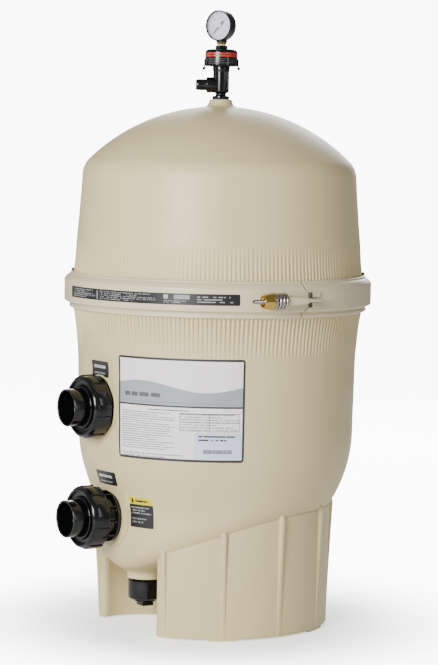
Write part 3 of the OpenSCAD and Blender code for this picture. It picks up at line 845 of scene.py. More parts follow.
@dataclass
class LowerTank:
    """The lower shell with its flutes and the base that it stands on."""

    form: TankForm = field(default_factory=lambda: FORM)
    wall: float = 6.0
    flange_r: float = 278.5
    split_z: float = 622.5
    flute_step: float = 1.76
    flute_first: float = 14.0
    skirt_r: float = 214.2
    skirt_wall: float = 5.0
    draft: float = 0.011
    pad_h: float = 3.0
    alcove_r: float = 95.5
    corner_r: float = 11.0
    rib_angles: tuple[float, ...] = (32.5, 62.0, 91.5, 121.0, 150.5, 180.0, 209.5, 239.0, 268.5, 298.0, 327.5)
    pad_angles: tuple[float, ...] = (62.0, 121.0, 180.0, 239.0, 298.0)

    def azimuths(self, front: int, back: int) -> np.ndarray:
        """Azimuths in radians, closer together round the ports."""
        near = np.linspace(-46, 46, front, endpoint=False)
        far = np.linspace(46, 314, back, endpoint=False)
        return np.radians(np.concatenate([near, far]))

    def skin(self, depth: float, front: int, back: int, bowl_rows: int, side_rows: int) -> np.ndarray:
        """Rows of points on the wall, from the bottom pole's first ring up to the rim.

        Args:
            depth: How far inside the outer surface, in millimetres.
            front: Columns round the ports.
            back: Columns on the rest.
            bowl_rows: Rows on the round bottom.
            side_rows: Rows on the side.

        Returns:
            Array (row, column, 3) in millimetres.
        """
        a = self.azimuths(front, back)
        flat = np.stack([np.sin(a), -np.cos(a), np.zeros_like(a)], -1)
        polar = np.radians(np.linspace(0.8, 90, bowl_rows, endpoint=False))[:, None, None]
        rays = flat[None] * np.sin(polar) + np.array([0, 0, -1.0]) * np.cos(polar)
        origin = np.array([0, 0, self.form.bowl_z])
        bowl = origin + rays * self.form.march(origin, rays, depth)[..., None]
        heights = np.linspace(self.form.bowl_z, self.form.rim_z, side_rows)
        origins = np.zeros((side_rows, 1, 3))
        origins[:, 0, 2] = heights
        out = np.repeat(flat[None], side_rows, 0)
        side = origins + out * self.form.march(origins, out, depth)[..., None]
        return np.concatenate([bowl, side])

    def ring_row(self, radius: float, z: float, like: np.ndarray) -> np.ndarray:
        """A circle with the same azimuths as another row."""
        a = np.arctan2(like[:, 0], -like[:, 1])
        return np.stack([radius * np.sin(a), -radius * np.cos(a), np.full_like(a, z)], -1)

    def shell(self) -> bmesh.types.BMesh:
        """The lower shell: outer wall, flange with its seal groove, and inner wall."""
        front, back = ((236, 104))
        rows, side = ((176, 48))
        outer = self.skin(0.0, front, back, rows, side)
        last = outer[-1]
        seat = self.split_z
        rim = [self.ring_row(r, z, last) for r, z in (
            (269.4, 590), (270, 598), (self.flange_r - 0.8, 606.6), (self.flange_r, 607.8), (self.flange_r, seat - 1),
            (self.flange_r - 1, seat), (263.2, seat), (262.4, seat - 0.7), (261.5, seat - 3), (258.5, seat - 4.2),
            (255.5, seat - 3), (254.6, seat - 0.7), (253.8, seat), (251.5, seat), (250.4, seat - 1), (250.4, 606))]
        inner = self.skin(self.wall, front, back, rows // 7, side // 6)[::-1]
        loops = np.concatenate([outer, np.array(rim), inner]) * MM
        return grid_bmesh(loops)

    def bead(self, low: float, high: float, radius: Callable[[np.ndarray], np.ndarray],
             depth: Callable[[np.ndarray], np.ndarray], width: float, rows: int = 10) -> bmesh.types.BMesh:
        """One flute: a long rounded bead at azimuth 0 that fades into the wall."""
        zs = np.linspace(low, high, rows)
        angles = np.radians(np.linspace(0, 180, 9))
        loops = []
        for z, r, d in zip(zs, radius(zs), depth(zs)):
            x = width / 2 * np.cos(angles)
            y = r - d - 0.6 + (d + 0.62) * np.sin(angles) ** 0.7
            loop = [(a, -b, z) for a, b in zip(x, y)]
            loop += [(-width / 2, -(r - d - 2.2), z), (width / 2, -(r - d - 2.2), z)]
            loops.append(loop)
        return grid_bmesh(np.array(loops) * MM)

    def flutes(self) -> bmesh.types.BMesh:
        """The row of beads under the clamp, cut short over the port column."""
        count = int((360 - 2 * self.flute_first) / self.flute_step) + 1
        bead = self.bead(self.form.flute_low, self.form.rim_z + 3, self.form.side_radius, self.form.flute, 6.3)
        around = grown(bead, COPIES, {"Count": count, "First": math.radians(self.flute_first),
                                      "Step": math.radians(self.flute_step)})
        short = self.bead(549, self.form.rim_z + 3, self.form.side_radius,
                          lambda z: self.form.flute(z) * np.clip((z - 549) / 34, 0, 1), 6.3)
        over = grown(short, COPIES, {"Count": 15, "First": math.radians(-7 * self.flute_step),
                                     "Step": math.radians(self.flute_step)})
        return joined([around, over])

    def port_rim(self) -> bmesh.types.BMesh:
        """The smooth rim round the inlet's pocket."""
        face = self.form.column_y
        profile = fillet([(51.6, self.form.boss_y - 3), (51.6, face + 1.2), (56.4, face + 1.2), (58.0, face - 1.5),
                          (56, self.form.boss_y - 3)], 1.0, 4)
        return moved(lathe(profile, 128), at_port(self.form.inlet_z))

    def port_seat(self) -> bmesh.types.BMesh:
        """The flat round seat under the outlet's flange."""
        face = self.form.boss_y
        profile = fillet([(38, face - 8), (38, face + 0.4), (54.5, face + 0.4), (57.6, face - 1.6),
                          (57.6, face - 8)], 1.0, 4)
        return moved(lathe(profile, 128), at_port(self.form.outlet_z))

    def plan(self) -> tuple[np.ndarray, np.ndarray]:
        """Outline of the base in plan, round the back and through the drain alcove.

        Returns:
            Points (n, 2) in millimetres and 1 where a point is on the round skirt.
        """
        centre = np.array([0.0, -self.form.drain_y])
        a, b, c = self.skirt_r - self.corner_r, self.alcove_r + self.corner_r, self.form.drain_y
        y = (b * b - a * a - c * c) / (2 * c)
        corner = np.array([math.sqrt(a * a - y * y), y])
        first = math.degrees(math.atan2(corner[0], -corner[1]))
        around = np.radians(np.linspace(first, 360 - first, 240))
        points = [(self.skirt_r * math.sin(t), -self.skirt_r * math.cos(t)) for t in around]
        round_part = [1.0] * len(points)
        left = np.array([-corner[0], corner[1]])
        for side, sign in ((left, 1), (corner, -1)):
            to_axis = side / np.linalg.norm(side)
            to_drain = (centre - side) / np.linalg.norm(centre - side)
            t0, t1 = math.atan2(to_axis[1], to_axis[0]), math.atan2(to_drain[1], to_drain[0])
            while t1 - t0 > math.pi:
                t1 -= 2 * math.pi
            while t1 - t0 < -math.pi:
                t1 += 2 * math.pi
            arc = [tuple(side + self.corner_r * np.array([math.cos(t), math.sin(t)]))
                   for t in np.linspace(t0, t1, 12)]
            if sign > 0:
                points += arc[1:]
                start = math.atan2(*(side - centre)[::-1])
                stop = math.atan2(*(corner - centre)[::-1])
                start, stop = start % (2 * math.pi), stop % (2 * math.pi)
                if start > math.pi * 1.2:
                    start -= 2 * math.pi
                if stop > math.pi * 1.2:
                    stop -= 2 * math.pi
                points += [tuple(centre + self.alcove_r * np.array([math.cos(t), math.sin(t)]))
                           for t in np.linspace(start, stop, 90)[1:-1]]
            else:
                points += arc[::-1][:-1]
        round_part += [0.0] * (len(points) - len(round_part))
        return np.array(points), np.array(round_part)

    def base(self) -> bmesh.types.BMesh:
        """The base: one closed wall round the skirt and the alcove, with ribs and foot pads."""
        points, on_skirt = self.plan()
        ahead, behind = np.roll(points, -1, 0), np.roll(points, 1, 0)
        tangent = ahead - behind
        tangent /= np.linalg.norm(tangent, axis=1)[:, None]
        normal = np.stack([tangent[:, 1], -tangent[:, 0]], -1)
        inner = points - normal * self.skirt_wall
        top = self.form.underside(points[:, 0], points[:, 1]) + 2.0
        inner_top = self.form.underside(inner[:, 0], inner[:, 1]) + 2.0
        levels = np.concatenate([[0.0, 0.006, 0.014], np.linspace(0.03, 1.0, 26)])
        out_rows, in_rows = [], []
        for t in levels:
            z = self.pad_h + (top - self.pad_h) * t
            grow = self.draft * (z - self.pad_h) * on_skirt
            tuck = 1.2 * max(0.0, 1 - t / 0.014)
            where = points + normal * (grow - tuck)[:, None]
            out_rows.append(np.column_stack([where, z]))
        for t in levels[::-1]:
            z = self.pad_h + (inner_top - self.pad_h) * t
            grow = self.draft * (z - self.pad_h) * on_skirt
            in_rows.append(np.column_stack([inner + normal * grow[:, None], z]))
        rows = np.array(out_rows + in_rows) * MM
        bm = bmesh.new()
        made = [[bm.verts.new(p) for p in row] for row in rows]
        count = len(made[0])
        for k, one in enumerate(made):
            two = made[(k + 1) % len(made)]
            for i in range(count):
                j = (i + 1) % count
                bm.faces.new((one[i], one[j], two[j], two[i]))
        bmesh.ops.recalc_face_normals(bm, faces=bm.faces)
        parts = [bm]
        parts += [self.rib(a) for a in self.rib_angles]
        parts += [self.pad(a) for a in self.pad_angles]
        return joined(parts)

    def rib(self, azimuth: float) -> bmesh.types.BMesh:
        """One half-round rib that grows proud towards its rounded top."""
        a = math.radians(azimuth)
        spot = np.array([(self.skirt_r + 2) * math.sin(a), -(self.skirt_r + 2) * math.cos(a)])
        panel = float(self.form.underside(spot[:1], spot[1:])[0])
        top = panel + 12.0
        rows = []
        angles = np.radians(np.linspace(0, 180, 11))
        for t in np.concatenate([np.linspace(0, 0.93, 22), [0.955, 0.975, 0.99, 1.0]]):
            z = self.pad_h + 3 + (top - self.pad_h - 3) * t
            proud = 0.6 + 8.0 * t ** 1.15
            close = math.sqrt(max(0.0, 1 - ((t - 0.93) / 0.07) ** 2)) if t > 0.93 else 1.0
            half = (4.6 + 1.6 * t) * (0.35 + 0.65 * close)
            base = self.skirt_r + self.draft * z - 4.0
            x = half * np.cos(angles)
            y = base + 4.0 * close + proud * close * np.sin(angles) ** 0.75
            loop = [(p, -q, z) for p, q in zip(x, y)] + [(-half, -(base - 4), z), (half, -(base - 4), z)]
            rows.append(loop)
        return moved(grid_bmesh(np.array(rows) * MM), turn(azimuth))

    def pad(self, azimuth: float) -> bmesh.types.BMesh:
        """One foot pad under the skirt."""
        profile = fillet([(self.skirt_r - r, z) for r, z in ((19, 0), (19, 7), (0.6, 7), (0.0, 0))], 1.0, 3)
        return lathe(profile, 16, start=azimuth - 7.2, sweep=14.4)

    def make(self) -> None:
        """Builds and places the pieces of the lower tank."""
        place("tank_shell", self.shell(), "tank", Slot.TANK, ["lower_shell"], sharp=38)
        place("tank_flutes", self.flutes(), "tank", Slot.TANK, sharp=70)
        place("inlet_rim", self.port_rim(), "tank", Slot.TANK)
        place("outlet_seat", self.port_seat(), "tank", Slot.TANK)
        place("tank_base", self.base(), "tank", Slot.TANK, ["base_skirt"], sharp=40)
        seal = lathe([(258.5 + 3.9 * math.cos(t), self.split_z - 0.2 + min(0.0, 3.9 * math.sin(t)))
                      for t in np.linspace(0, 2 * math.pi, 24, endpoint=False)], 180)
        place("tank_seal", seal, "tank", Slot.RUBBER, ["tank_oring"])


@dataclass
class Lid:
    """The upper shell with its flutes and boss."""

    wall: float = 6.0
    split_z: float = 622.5
    flange_r: float = 278.5
    crown_z: float = 964.6
    crown_r: float = 345.0
    knuckle_r: float = 45.0
    flute_low: float = 650.0
    flute_high: float = 716.0
    flute_depth: float = 1.6
    boss_x: float = 21.0
    side: tuple[Point2, ...] = ((269.6, 650), (269.0, 660), (267.4, 672), (266.2, 687), (264.4, 717), (261.7, 746),
                                (259.4, 776), (257.0, 806), (255.3, 832), (255.15, 836.9))

    def side_radius(self, z: np.ndarray) -> np.ndarray:
        """Radius of the lid's side at a height."""
        return np.interp(z, [p[1] for p in self.side], [p[0] for p in self.side])

    def flute(self, z: np.ndarray) -> np.ndarray:
        """Depth of the flutes at a height, fading upwards."""
        return self.flute_depth * np.clip((self.flute_high - z) / (self.flute_high - self.flute_low), 0, 1) ** 0.9

    def dome(self, depth: float) -> list[Point2]:
        """Knuckle and crown, from the side up to the boss."""
        tilt, lean = 45.5, 4.2
        low = self.crown_z - self.crown_r
        cr = (self.crown_r - self.knuckle_r) * math.cos(math.radians(tilt))
        cz = low + (self.crown_r - self.knuckle_r) * math.sin(math.radians(tilt))
        r = self.knuckle_r - depth
        points = [(cr + r * math.cos(math.radians(a)), cz + r * math.sin(math.radians(a)))
                  for a in np.linspace(lean, tilt, 14)]
        r = self.crown_r - depth
        points += [(r * math.cos(math.radians(a)), low + r * math.sin(math.radians(a)))
                   for a in np.linspace(tilt + 1.2, 85.2, 34)]
        return points

    def shell(self) -> bmesh.types.BMesh:
        """The lid as one closed double wall."""
        seat = self.split_z + 0.3
        flange = [(251, seat), (self.flange_r - 1, seat), (self.flange_r, seat + 1), (self.flange_r, 636.4),
                  (self.flange_r - 0.8, 637.6), (268.3, 648.0)]
        zs = np.linspace(650, 832, 34)
        outer = list(zip(self.side_radius(zs) - self.flute(zs), zs)) + self.dome(0.0)
        boss = [(31.0, 963.4), (27.2, 964.6), (24.6, 966.6), (22.9, 969.2), (21.6, 972.6), (self.boss_x, 975.6),
                (self.boss_x - 1.2, 977.0), (12.2, 977.0), (12.2, 958.6)]
        zs = np.linspace(832, 655, 16)
        inner = self.dome(self.wall)[::-1] + list(zip(self.side_radius(zs) - self.wall, zs)) + [(251, 640)]
        return lathe(flange + outer + boss + inner, 300)

    def flutes(self) -> bmesh.types.BMesh:
        """The row of beads over the clamp."""
        bead = LowerTank().bead(self.flute_low + 0.5, self.flute_high, self.side_radius, self.flute, 5.9)
        count = 216
        return grown(bead, COPIES, {"Count": count, "First": 0.0, "Step": 2 * math.pi / count})

    def make(self) -> None:
        """Builds and places the lid."""
        place("lid_shell", self.shell(), "lid", Slot.TANK, ["upper_shell"], sharp=38)
        place("lid_flutes", self.flutes(), "lid", Slot.TANK, sharp=70)


# ---------------------------------------------------------------- clamp


@dataclass
class Clamp:
    """The split band with its bolt, spring and nut."""

    outer_r: float = 286.5
    split_az: float = 87.0
    bolt_rho: float = 304.0
    bolt_z: float = 622.5
    gap: float = 4.0
    split_lean: float = 14.0
    split_step: float = 9.0
    split_notch: float = 3.4
    plate_r: float = 289.6

    def at_bolt(self) -> Matrix:
        """Frame on the bolt: X runs along it towards its head, -Y points outwards."""
        return turn(self.split_az) @ shift(0, -self.bolt_rho, self.bolt_z)

    def band(self) -> bmesh.types.BMesh:
        """The band with its stepped split, its tongue and its raised end."""
        section = [(274.8, 589.2), (277.0, 590.8), (277.2, 595.3), (275.3, 596.4), (275.2, 598.6),
                   (277.2, 600.2), (283.4, 600.8), (self.outer_r - 0.4, 602.4), (self.outer_r, 605),
                   (self.outer_r, 640.5), (self.outer_r - 0.8, 643.2), (281.0, 648.4), (275.4, 652.0),
                   (274.8, 654.6), (271.6, 655.6), (270.2, 654.8), (269.4, 651), (281, 641), (281, 604.5),
                   (270.4, 596.7), (270.4, 589.2)]
        half = math.degrees(self.gap / 2 / self.outer_r)
        outline = fillet(section, 1.0, 3)
        outline = [(a[0] + (b[0] - a[0]) * t, a[1] + (b[1] - a[1]) * t)
                   for a, b in zip(outline, outline[1:] + outline[:1])
                   for t in np.linspace(0, 1, max(2, int(abs(b[1] - a[1]) / 1.8) + 1))[:-1]]
        ring = lathe(outline, 260, start=self.split_az + half, sweep=360 - 2 * half)
        for vert in ring.verts:
            step = float(smoothstep(np.array((20.5 - abs(vert.co.z / MM - self.bolt_z)) / 8)))
            past = math.degrees(math.atan2(vert.co.x, -vert.co.y)) - self.split_az
            notch = float(smoothstep(np.array((13 - abs(vert.co.z / MM - self.bolt_z)) / 4)))
            notch = self.split_notch * notch if 0 < past < 0.9 else 0.0
            lean = self.split_lean + self.split_step * step + notch
            vert.co = Matrix.Rotation(lean / self.outer_r, 3, "Z") @ vert.co
        return joined([ring, self.tongue(), self.plate()])

    def tongue(self) -> bmesh.types.BMesh:
        """The tapered sleeve the spring pushes on, and the bar it ends in."""
        rows = []
        for x, high, low_y, out in ((-35.4, 8.0, 14, 8.4), (-34.6, 8.8, 14, 9.0), (-20, 8.2, 14, 8.6),
                                    (-6, 6.9, 14, 7.4), (4, 6.2, 15, 6.8), (8, 4.8, 16, 6.0),
                                    (13, 3.0, 17, 5.0), (36, 2.7, 17, 3.0), (37, 2.2, 17, 2.4)):
            outline = [(low_y + 8, -high - 1.0), (low_y, -high - 0.6), (-out, -high * 0.86),
                       (-out, high * 0.86), (low_y, high + 0.6), (low_y + 8, high + 1.0)]
            rows.append([(x, y, z) for y, z in fillet(outline, 1.6, 4)])
        return moved(grid_bmesh(np.array(rows) * MM), self.at_bolt())

    def plate(self) -> bmesh.types.BMesh:
        """The raised curved plate past the split, with a slot for the bar."""
        parts = []
        for first, last, low, high in ((28, 45, 4.6, 14.6), (28, 45, -14.6, -4.6), (41.4, 45, -5.0, 5.0)):
            outline = fillet([(284, self.bolt_z + low), (self.plate_r, self.bolt_z + low),
                              (self.plate_r, self.bolt_z + high), (284, self.bolt_z + high)], 0.9, 3)
            parts.append(lathe(outline, 24, start=self.split_az + math.degrees(first / self.outer_r),
                               sweep=math.degrees((last - first) / self.outer_r)))
        return joined(parts)

    def bolt(self) -> bmesh.types.BMesh:
        """The bolt with its thread and its cross head."""
        along = self.at_bolt() @ Matrix.Rotation(math.radians(90), 4, "Y")
        rod = lathe(fillet([(0, -103), (3.2, -103), (3.7, -101.8), (3.7, 4), (2.2, 8), (2.2, 34), (0, 34)],
                           0.3, 2), 40)
        thread = grown(None, COIL, {"Turns": 34.0, "Radius": 3.55 * MM, "Length": 47.0 * MM, "Wire": 0.55 * MM})
        head = block((36.8, 12.6, -4.4), (41.2, 17.6, 4.4), 0.6)
        return joined([moved(rod, along), moved(thread, along, shift(0, 0, -102)),
                       moved(head, self.at_bolt())])

    def nut(self) -> bmesh.types.BMesh:
        """The brass nut: a faceted barrel with a chamfered, hollow nose."""
        sides = 6
        rows = []
        for z, r, facet in ((0.0, 13.6, 0.0), (0.6, 15.2, 0.3), (2.0, 15.4, 1.0), (11.0, 15.4, 1.0),
                            (13.0, 13.8, 0.4), (15.0, 12.6, 0.0), (18.4, 11.2, 0.0), (19.0, 10.4, 0.0),
                            (18.6, 9.6, 0.0), (15.0, 8.2, 0.0), (8.0, 4.6, 0.0), (5.0, 4.2, 0.0)):
            loop = []
            for k in range(sides * 6):
                a = 2 * math.pi * k / (sides * 6)
                local = (a + math.pi / sides) % (2 * math.pi / sides) - math.pi / sides
                flat = math.cos(math.pi / sides) / math.cos(local)
                reach = r * ((1 - facet) + facet * flat)
                loop.append((reach * math.cos(a), reach * math.sin(a), z))
            rows.append(loop)
        bm = grid_bmesh(np.array(rows) * MM)
        return moved(bm, self.at_bolt(), shift(-65.3, 0, 0), Matrix.Rotation(math.radians(-90), 4, "Y"))

    def spring(self) -> bmesh.types.BMesh:
        """The compression spring with its closed ends."""
        coil = grown(None, COIL, {"Turns": 3.8, "Radius": 13.0 * MM, "Length": 25.6 * MM, "Wire": 2.3 * MM})
        return moved(coil, self.at_bolt(), shift(-62.8, 0, 0), Matrix.Rotation(math.radians(90), 4, "Y"))

    def washer(self) -> bmesh.types.BMesh:
        """The flat washer between nut and spring."""
        ring = lathe(fillet([(4.4, 0), (15.6, 0), (15.6, 2), (4.4, 2)], 0.4, 2), 64)
        return moved(ring, self.at_bolt(), shift(-65.1, 0, 0), Matrix.Rotation(math.radians(90), 4, "Y"))

    def bumpers(self) -> bmesh.types.BMesh:
        """Two small black bumpers on the band's top edge."""
        outline = fillet([(0, 655), (2.6, 655), (2.6, 660), (0, 660)], 0.8, 3)
        return joined([moved(lathe(outline, 20), turn(a), shift(0, -271.6, 0)) for a in (-33, 147)])

    def make(self) -> None:
        """Builds and places the clamp's pieces."""
        place("clamp_ring", self.band(), "tank", Slot.CLAMP, ["clamp_band"], sharp=30)
        place("clamp_bolt", self.bolt(), "tank", Slot.STEEL, ["clamp_t_bolt"])
        pin = moved(lathe(fillet([(0, -13.6), (2.9, -13.6), (2.9, 13.6), (0, 13.6)], 0.8, 3), 32),
                    self.at_bolt(), shift(25.0, 17.4, 0))
        # The cross pin's steel is near black: painted shade of the gap in the band's split where it sits.
        pin_painted_shade = Finish("steel_painted_shade", (0.045, 0.038, 0.025), roughness=0.6).build()
        place("clamp_cross_pin", pin, "tank", Slot.STEEL, material=pin_painted_shade)
        place("clamp_coil", self.spring(), "tank", Slot.STEEL, ["clamp_spring"])
        place("clamp_ring_washer", self.washer(), "spring_washer", Slot.STEEL, ["clamp_washer"])
        place("clamp_brass_nut", self.nut(), "brass_nut", Slot.BRASS, ["clamp_nut"], sharp=24)
        place("clamp_stops", self.bumpers(), "tank", Slot.RUBBER, ["clamp_bumpers"])


# ---------------------------------------------------------------- ports and drain


@dataclass
class Union:
    """One union port: bulkhead, nut and tailpiece."""

    name: str
    height: float
    reach: float = 322.5
    socket_r: float = 30.25
    socket_depth: float = 34.0
    tube_r: float = 34.0
    grips: int = 8

    def bulkhead(self) -> bmesh.types.BMesh:
        """The flange, barrel and webs screwed through the tank wall."""
        profile = fillet([(26, 196), (37, 196), (37, 229.9), (47, 229.9), (47.4, 235), (43, 235.4), (40, 236.5),
                          (40, 262), (50, 262),
                          (50, 276), (38.2, 276), (37.6, 275), (34.4, 275), (33.8, 276), (26, 276)], 1.0, 3)
        body = lathe(profile, 96)
        web = block((-1.3, 38, 234), (1.3, 46.4, 259), 0.5)
        webs = grown(web, COPIES, {"Count": 10, "First": 0.2, "Step": 2 * math.pi / 10})
        lip = lathe(fillet([(44.2, 234), (47.2, 234), (47.2, 237.6), (44.2, 237.6)], 0.6, 2), 96)
        return moved(joined([body, webs, lip]), at_port(self.height))

    def nut(self) -> bmesh.types.BMesh:
        """The union nut with its broad grips and recessed face."""
        profile = fillet([(50.4, 258), (55.0, 258), (56.2, 260), (56.2, 285.5), (55.0, 290.5), (52.5, 293.6),
                          (49.8, 294), (48.6, 292.4),
                          (47.5, 287), (39.5, 286.2), (38.2, 292.6), (34.5, 292.8), (34.5, 283.2),
                          (50.4, 283.2)], 1.5, 4)
        body = lathe(profile, 128)
        rows = []
        for z, out in ((258.6, 56.6), (259.4, 58.0), (262, 58.5), (284, 58.4), (287.4, 57.4), (290.0, 55.8)):
            half = math.radians(11.5)
            loop = [(out * math.sin(t), -out * math.cos(t), z) for t in np.linspace(-half, half, 9)]
            loop += [(53 * math.sin(t), -53 * math.cos(t), z) for t in np.linspace(half * 1.15, -half * 1.15, 9)]
            rows.append(loop)
        grip = grid_bmesh(np.array(rows) * MM)
        grips = grown(grip, COPIES, {"Count": self.grips, "First": math.radians(20),
                                     "Step": 2 * math.pi / self.grips})
        return moved(joined([body, grips]), at_port(self.height))

    def tailpiece(self) -> bmesh.types.BMesh:
        """The tailpiece with its pipe socket."""
        bottom = self.reach - self.socket_depth
        profile = fillet([(26, 276.2), (46, 276.2), (46, 281.8), (36, 282.4), (34.3, 284), (self.tube_r, 300),
                          (self.tube_r, self.reach), (31.2, self.reach), (self.socket_r, self.reach - 1.6),
                          (self.socket_r, bottom), (26, bottom)], 0.8, 3)
        return moved(lathe(profile, 96), at_port(self.height))

    def make(self) -> None:
        """Builds and places the port."""
        place(f"{self.name}_port_body", self.bulkhead(), "tank", Slot.BLACK, [f"{self.name}_bulkhead"])
        place(f"{self.name}_port_nut", self.nut(), f"{self.name}_nut", Slot.BLACK, [f"{self.name}_union_nut"])
        place(f"{self.name}_port_tail", self.tailpiece(), f"{self.name}_tail", Slot.BLACK, [f"{self.name}_tailpiece"])


@dataclass
class Drain:
    """The drain adapter and its plug under the sump."""

    y: float = -150.0
    drop: float = 5.5

    def make(self) -> None:
        """Builds and places the drain's pieces."""
        here = shift(0, self.y, -self.drop)
        body = lathe(fillet([(16.1, 58), (28.2, 58), (31.4, 61.5), (31.4, 94), (24, 94), (22, 95), (22, 122),
                             (13, 122), (13, 90), (16.1, 90)], 0.8, 3), 96)
        place("drain_adapter_body", moved(body, here), "tank", Slot.BLACK, ["drain_adapter"])
        head = block((-11.5, -11.5, 45), (11.5, 11.5, 54), 1.4)
        collar = lathe(fillet([(0, 53.6), (20, 53.6), (20, 55.6), (16, 55.6), (16, 79), (0, 79)], 0.5, 2), 64)
        place("drain_square_plug", moved(joined([collar, head]), here), "plug", Slot.BLACK, ["drain_plug"])


# ---------------------------------------------------------------- relief valve and gauge


@dataclass
class ReliefStack:
    """The relief stem on the lid, the valve body over it, and the gauge on top."""

    vent_az: float = -33.0
    vent_z: float = 1004.0
    valve_r: float = 30.1
    gauge_z: float = 1113.2
    gauge_az: float = 22.0

    def at_gauge(self) -> Matrix:
        """Frame of the gauge: local Z points out of the dial, local Y up."""
        upright = Matrix.Rotation(math.radians(90), 4, "X")
        return shift(0, 0, self.gauge_z) @ turn(self.gauge_az) @ shift(0, -1.5, 0) @ upright

    def stem(self) -> bmesh.types.BMesh:
        """The stem with its side outlet and rib."""
        profile = fillet([(0, 944), (12, 944), (12, 979), (16, 979), (16, 983.4), (10.5, 984.4), (9.5, 986),
                          (9.6, 988), (14.4, 990.5),
                          (15.2, 992), (15.2, 1029), (15.8, 1031), (16, 1032), (16, 1041), (0, 1041)], 0.7, 3)
        parts = [lathe(profile, 72)]
        side = lathe(fillet([(0, 4), (14.4, 4), (14.6, 25.8), (13.4, 27), (10.5, 27.4), (10.5, 42), (9.9, 45.6),
                             (8.2, 47), (5.5, 47), (5.5, 30), (0, 30)], 0.8, 3), 56)
        vent = shift(0, 0, self.vent_z) @ turn(self.vent_az) @ Matrix.Rotation(math.radians(90), 4, "X")
        parts.append(moved(side, vent))
        parts.append(moved(block((-2.2, -18.4, 990), (2.2, -10, 1030), 1.0), turn(95)))
        parts.append(moved(block((-1.6, -16.6, 992), (1.6, -10, 1028), 0.8), turn(200)))
        return joined(parts)

    def valve(self) -> bmesh.types.BMesh:
        """The valve body: a ribbed cap with a hexagon neck."""
        r = self.valve_r
        profile = fillet([(16.4, 1038), (28.2, 1038), (r, 1039.6), (r, 1064.6), (28.6, 1067.8), (25.6, 1069.6),
                          (20, 1070), (0, 1070), (0, 1041.6), (16.4, 1041.6)], 1.0, 4)
        parts = [lathe(profile, 96)]
        hexagon = [(11.4 * math.cos(t), 11.4 * math.sin(t)) for t in np.radians(np.arange(0, 360, 60))]
        parts.append(prism(hexagon, 1069.5, 1077, 0.6))
        parts.append(lathe(fillet([(0, 1083), (10.5, 1083), (10.5, 1086.6), (0, 1086.6)], 0.8, 3), 48))
        rib = block((-0.8, -r - 0.7, 1040.5), (0.8, -r + 1, 1054), 0.35)
        parts.append(grown(rib, COPIES, {"Count": 28, "First": math.radians(7), "Step": 2 * math.pi / 28}))
        parts.append(lathe(fillet([(7.0, 1041.5), (7.95, 1041.5), (7.95, 1016), (7.0, 1016)], 0.4, 2), 40))
        return joined(parts)

    def tab(self, azimuth: float) -> bmesh.types.BMesh:
        """One lock tab: a flat lever with a turned-out foot and its pin."""
        lever = block((-6, -32.2, 1034), (6, -29.4, 1051), 0.9)
        foot = block((-6, -35.2, 1031.6), (6, -29.6, 1037.0), 1.4)
        pin = moved(lathe(fillet([(0, -6.6), (1.6, -6.6), (1.6, 6.6), (0, 6.6)], 0.4, 2), 24), shift(0, -29.9, 1049),
                    Matrix.Rotation(math.radians(90), 4, "Y"))
        return moved(joined([lever, foot, pin]), turn(azimuth))

    def ticks(self) -> bmesh.types.BMesh:
        """Scale of the dial: long and short strokes over three quarters of a turn."""
        face = 3.85
        short = block((-0.24, -25.0, face), (0.24, -22.8, face + 0.12), 0.02)
        long = block((-0.5, -25.2, face), (0.5, -20.8, face + 0.12), 0.02)
        fine = grown(short, COPIES, {"Count": 61, "First": math.radians(-45), "Step": math.radians(-4.5)})
        bold = grown(long, COPIES, {"Count": 13, "First": math.radians(-45), "Step": math.radians(-22.5)})
        return moved(joined([fine, bold]), self.at_gauge())

    def numbers(self) -> bmesh.types.BMesh:
        """Plain numbers round the dial, every ten units."""
        parts = []
        for k in range(7):
            letter = bpy.data.curves.new("number", "FONT")
            letter.body = str(10 * k)
            letter.size = 4.6 * MM
            letter.align_x, letter.align_y = "CENTER", "CENTER"
            holder = bpy.data.objects.new("number", letter)
            bpy.context.scene.collection.objects.link(holder)
            bpy.context.view_layer.update()
            flat = bpy.data.meshes.new_from_object(holder.evaluated_get(bpy.context.evaluated_depsgraph_get()))
            bpy.data.objects.remove(holder)
            bm = bmesh.new()
            bm.from_mesh(flat)
            bpy.data.meshes.remove(flat)
            up = bmesh.ops.extrude_face_region(bm, geom=bm.faces[:])
            verts = [v for v in up["geom"] if isinstance(v, bmesh.types.BMVert)]
            bmesh.ops.translate(bm, vec=(0, 0, 0.1 * MM), verts=verts)
            bmesh.ops.recalc_face_normals(bm, faces=bm.faces)
            a = math.radians(225 - 45 * k)
            parts.append(moved(bm, self.at_gauge(), shift(16.6 * math.cos(a), 16.6 * math.sin(a), 3.85)))
        return joined(parts)

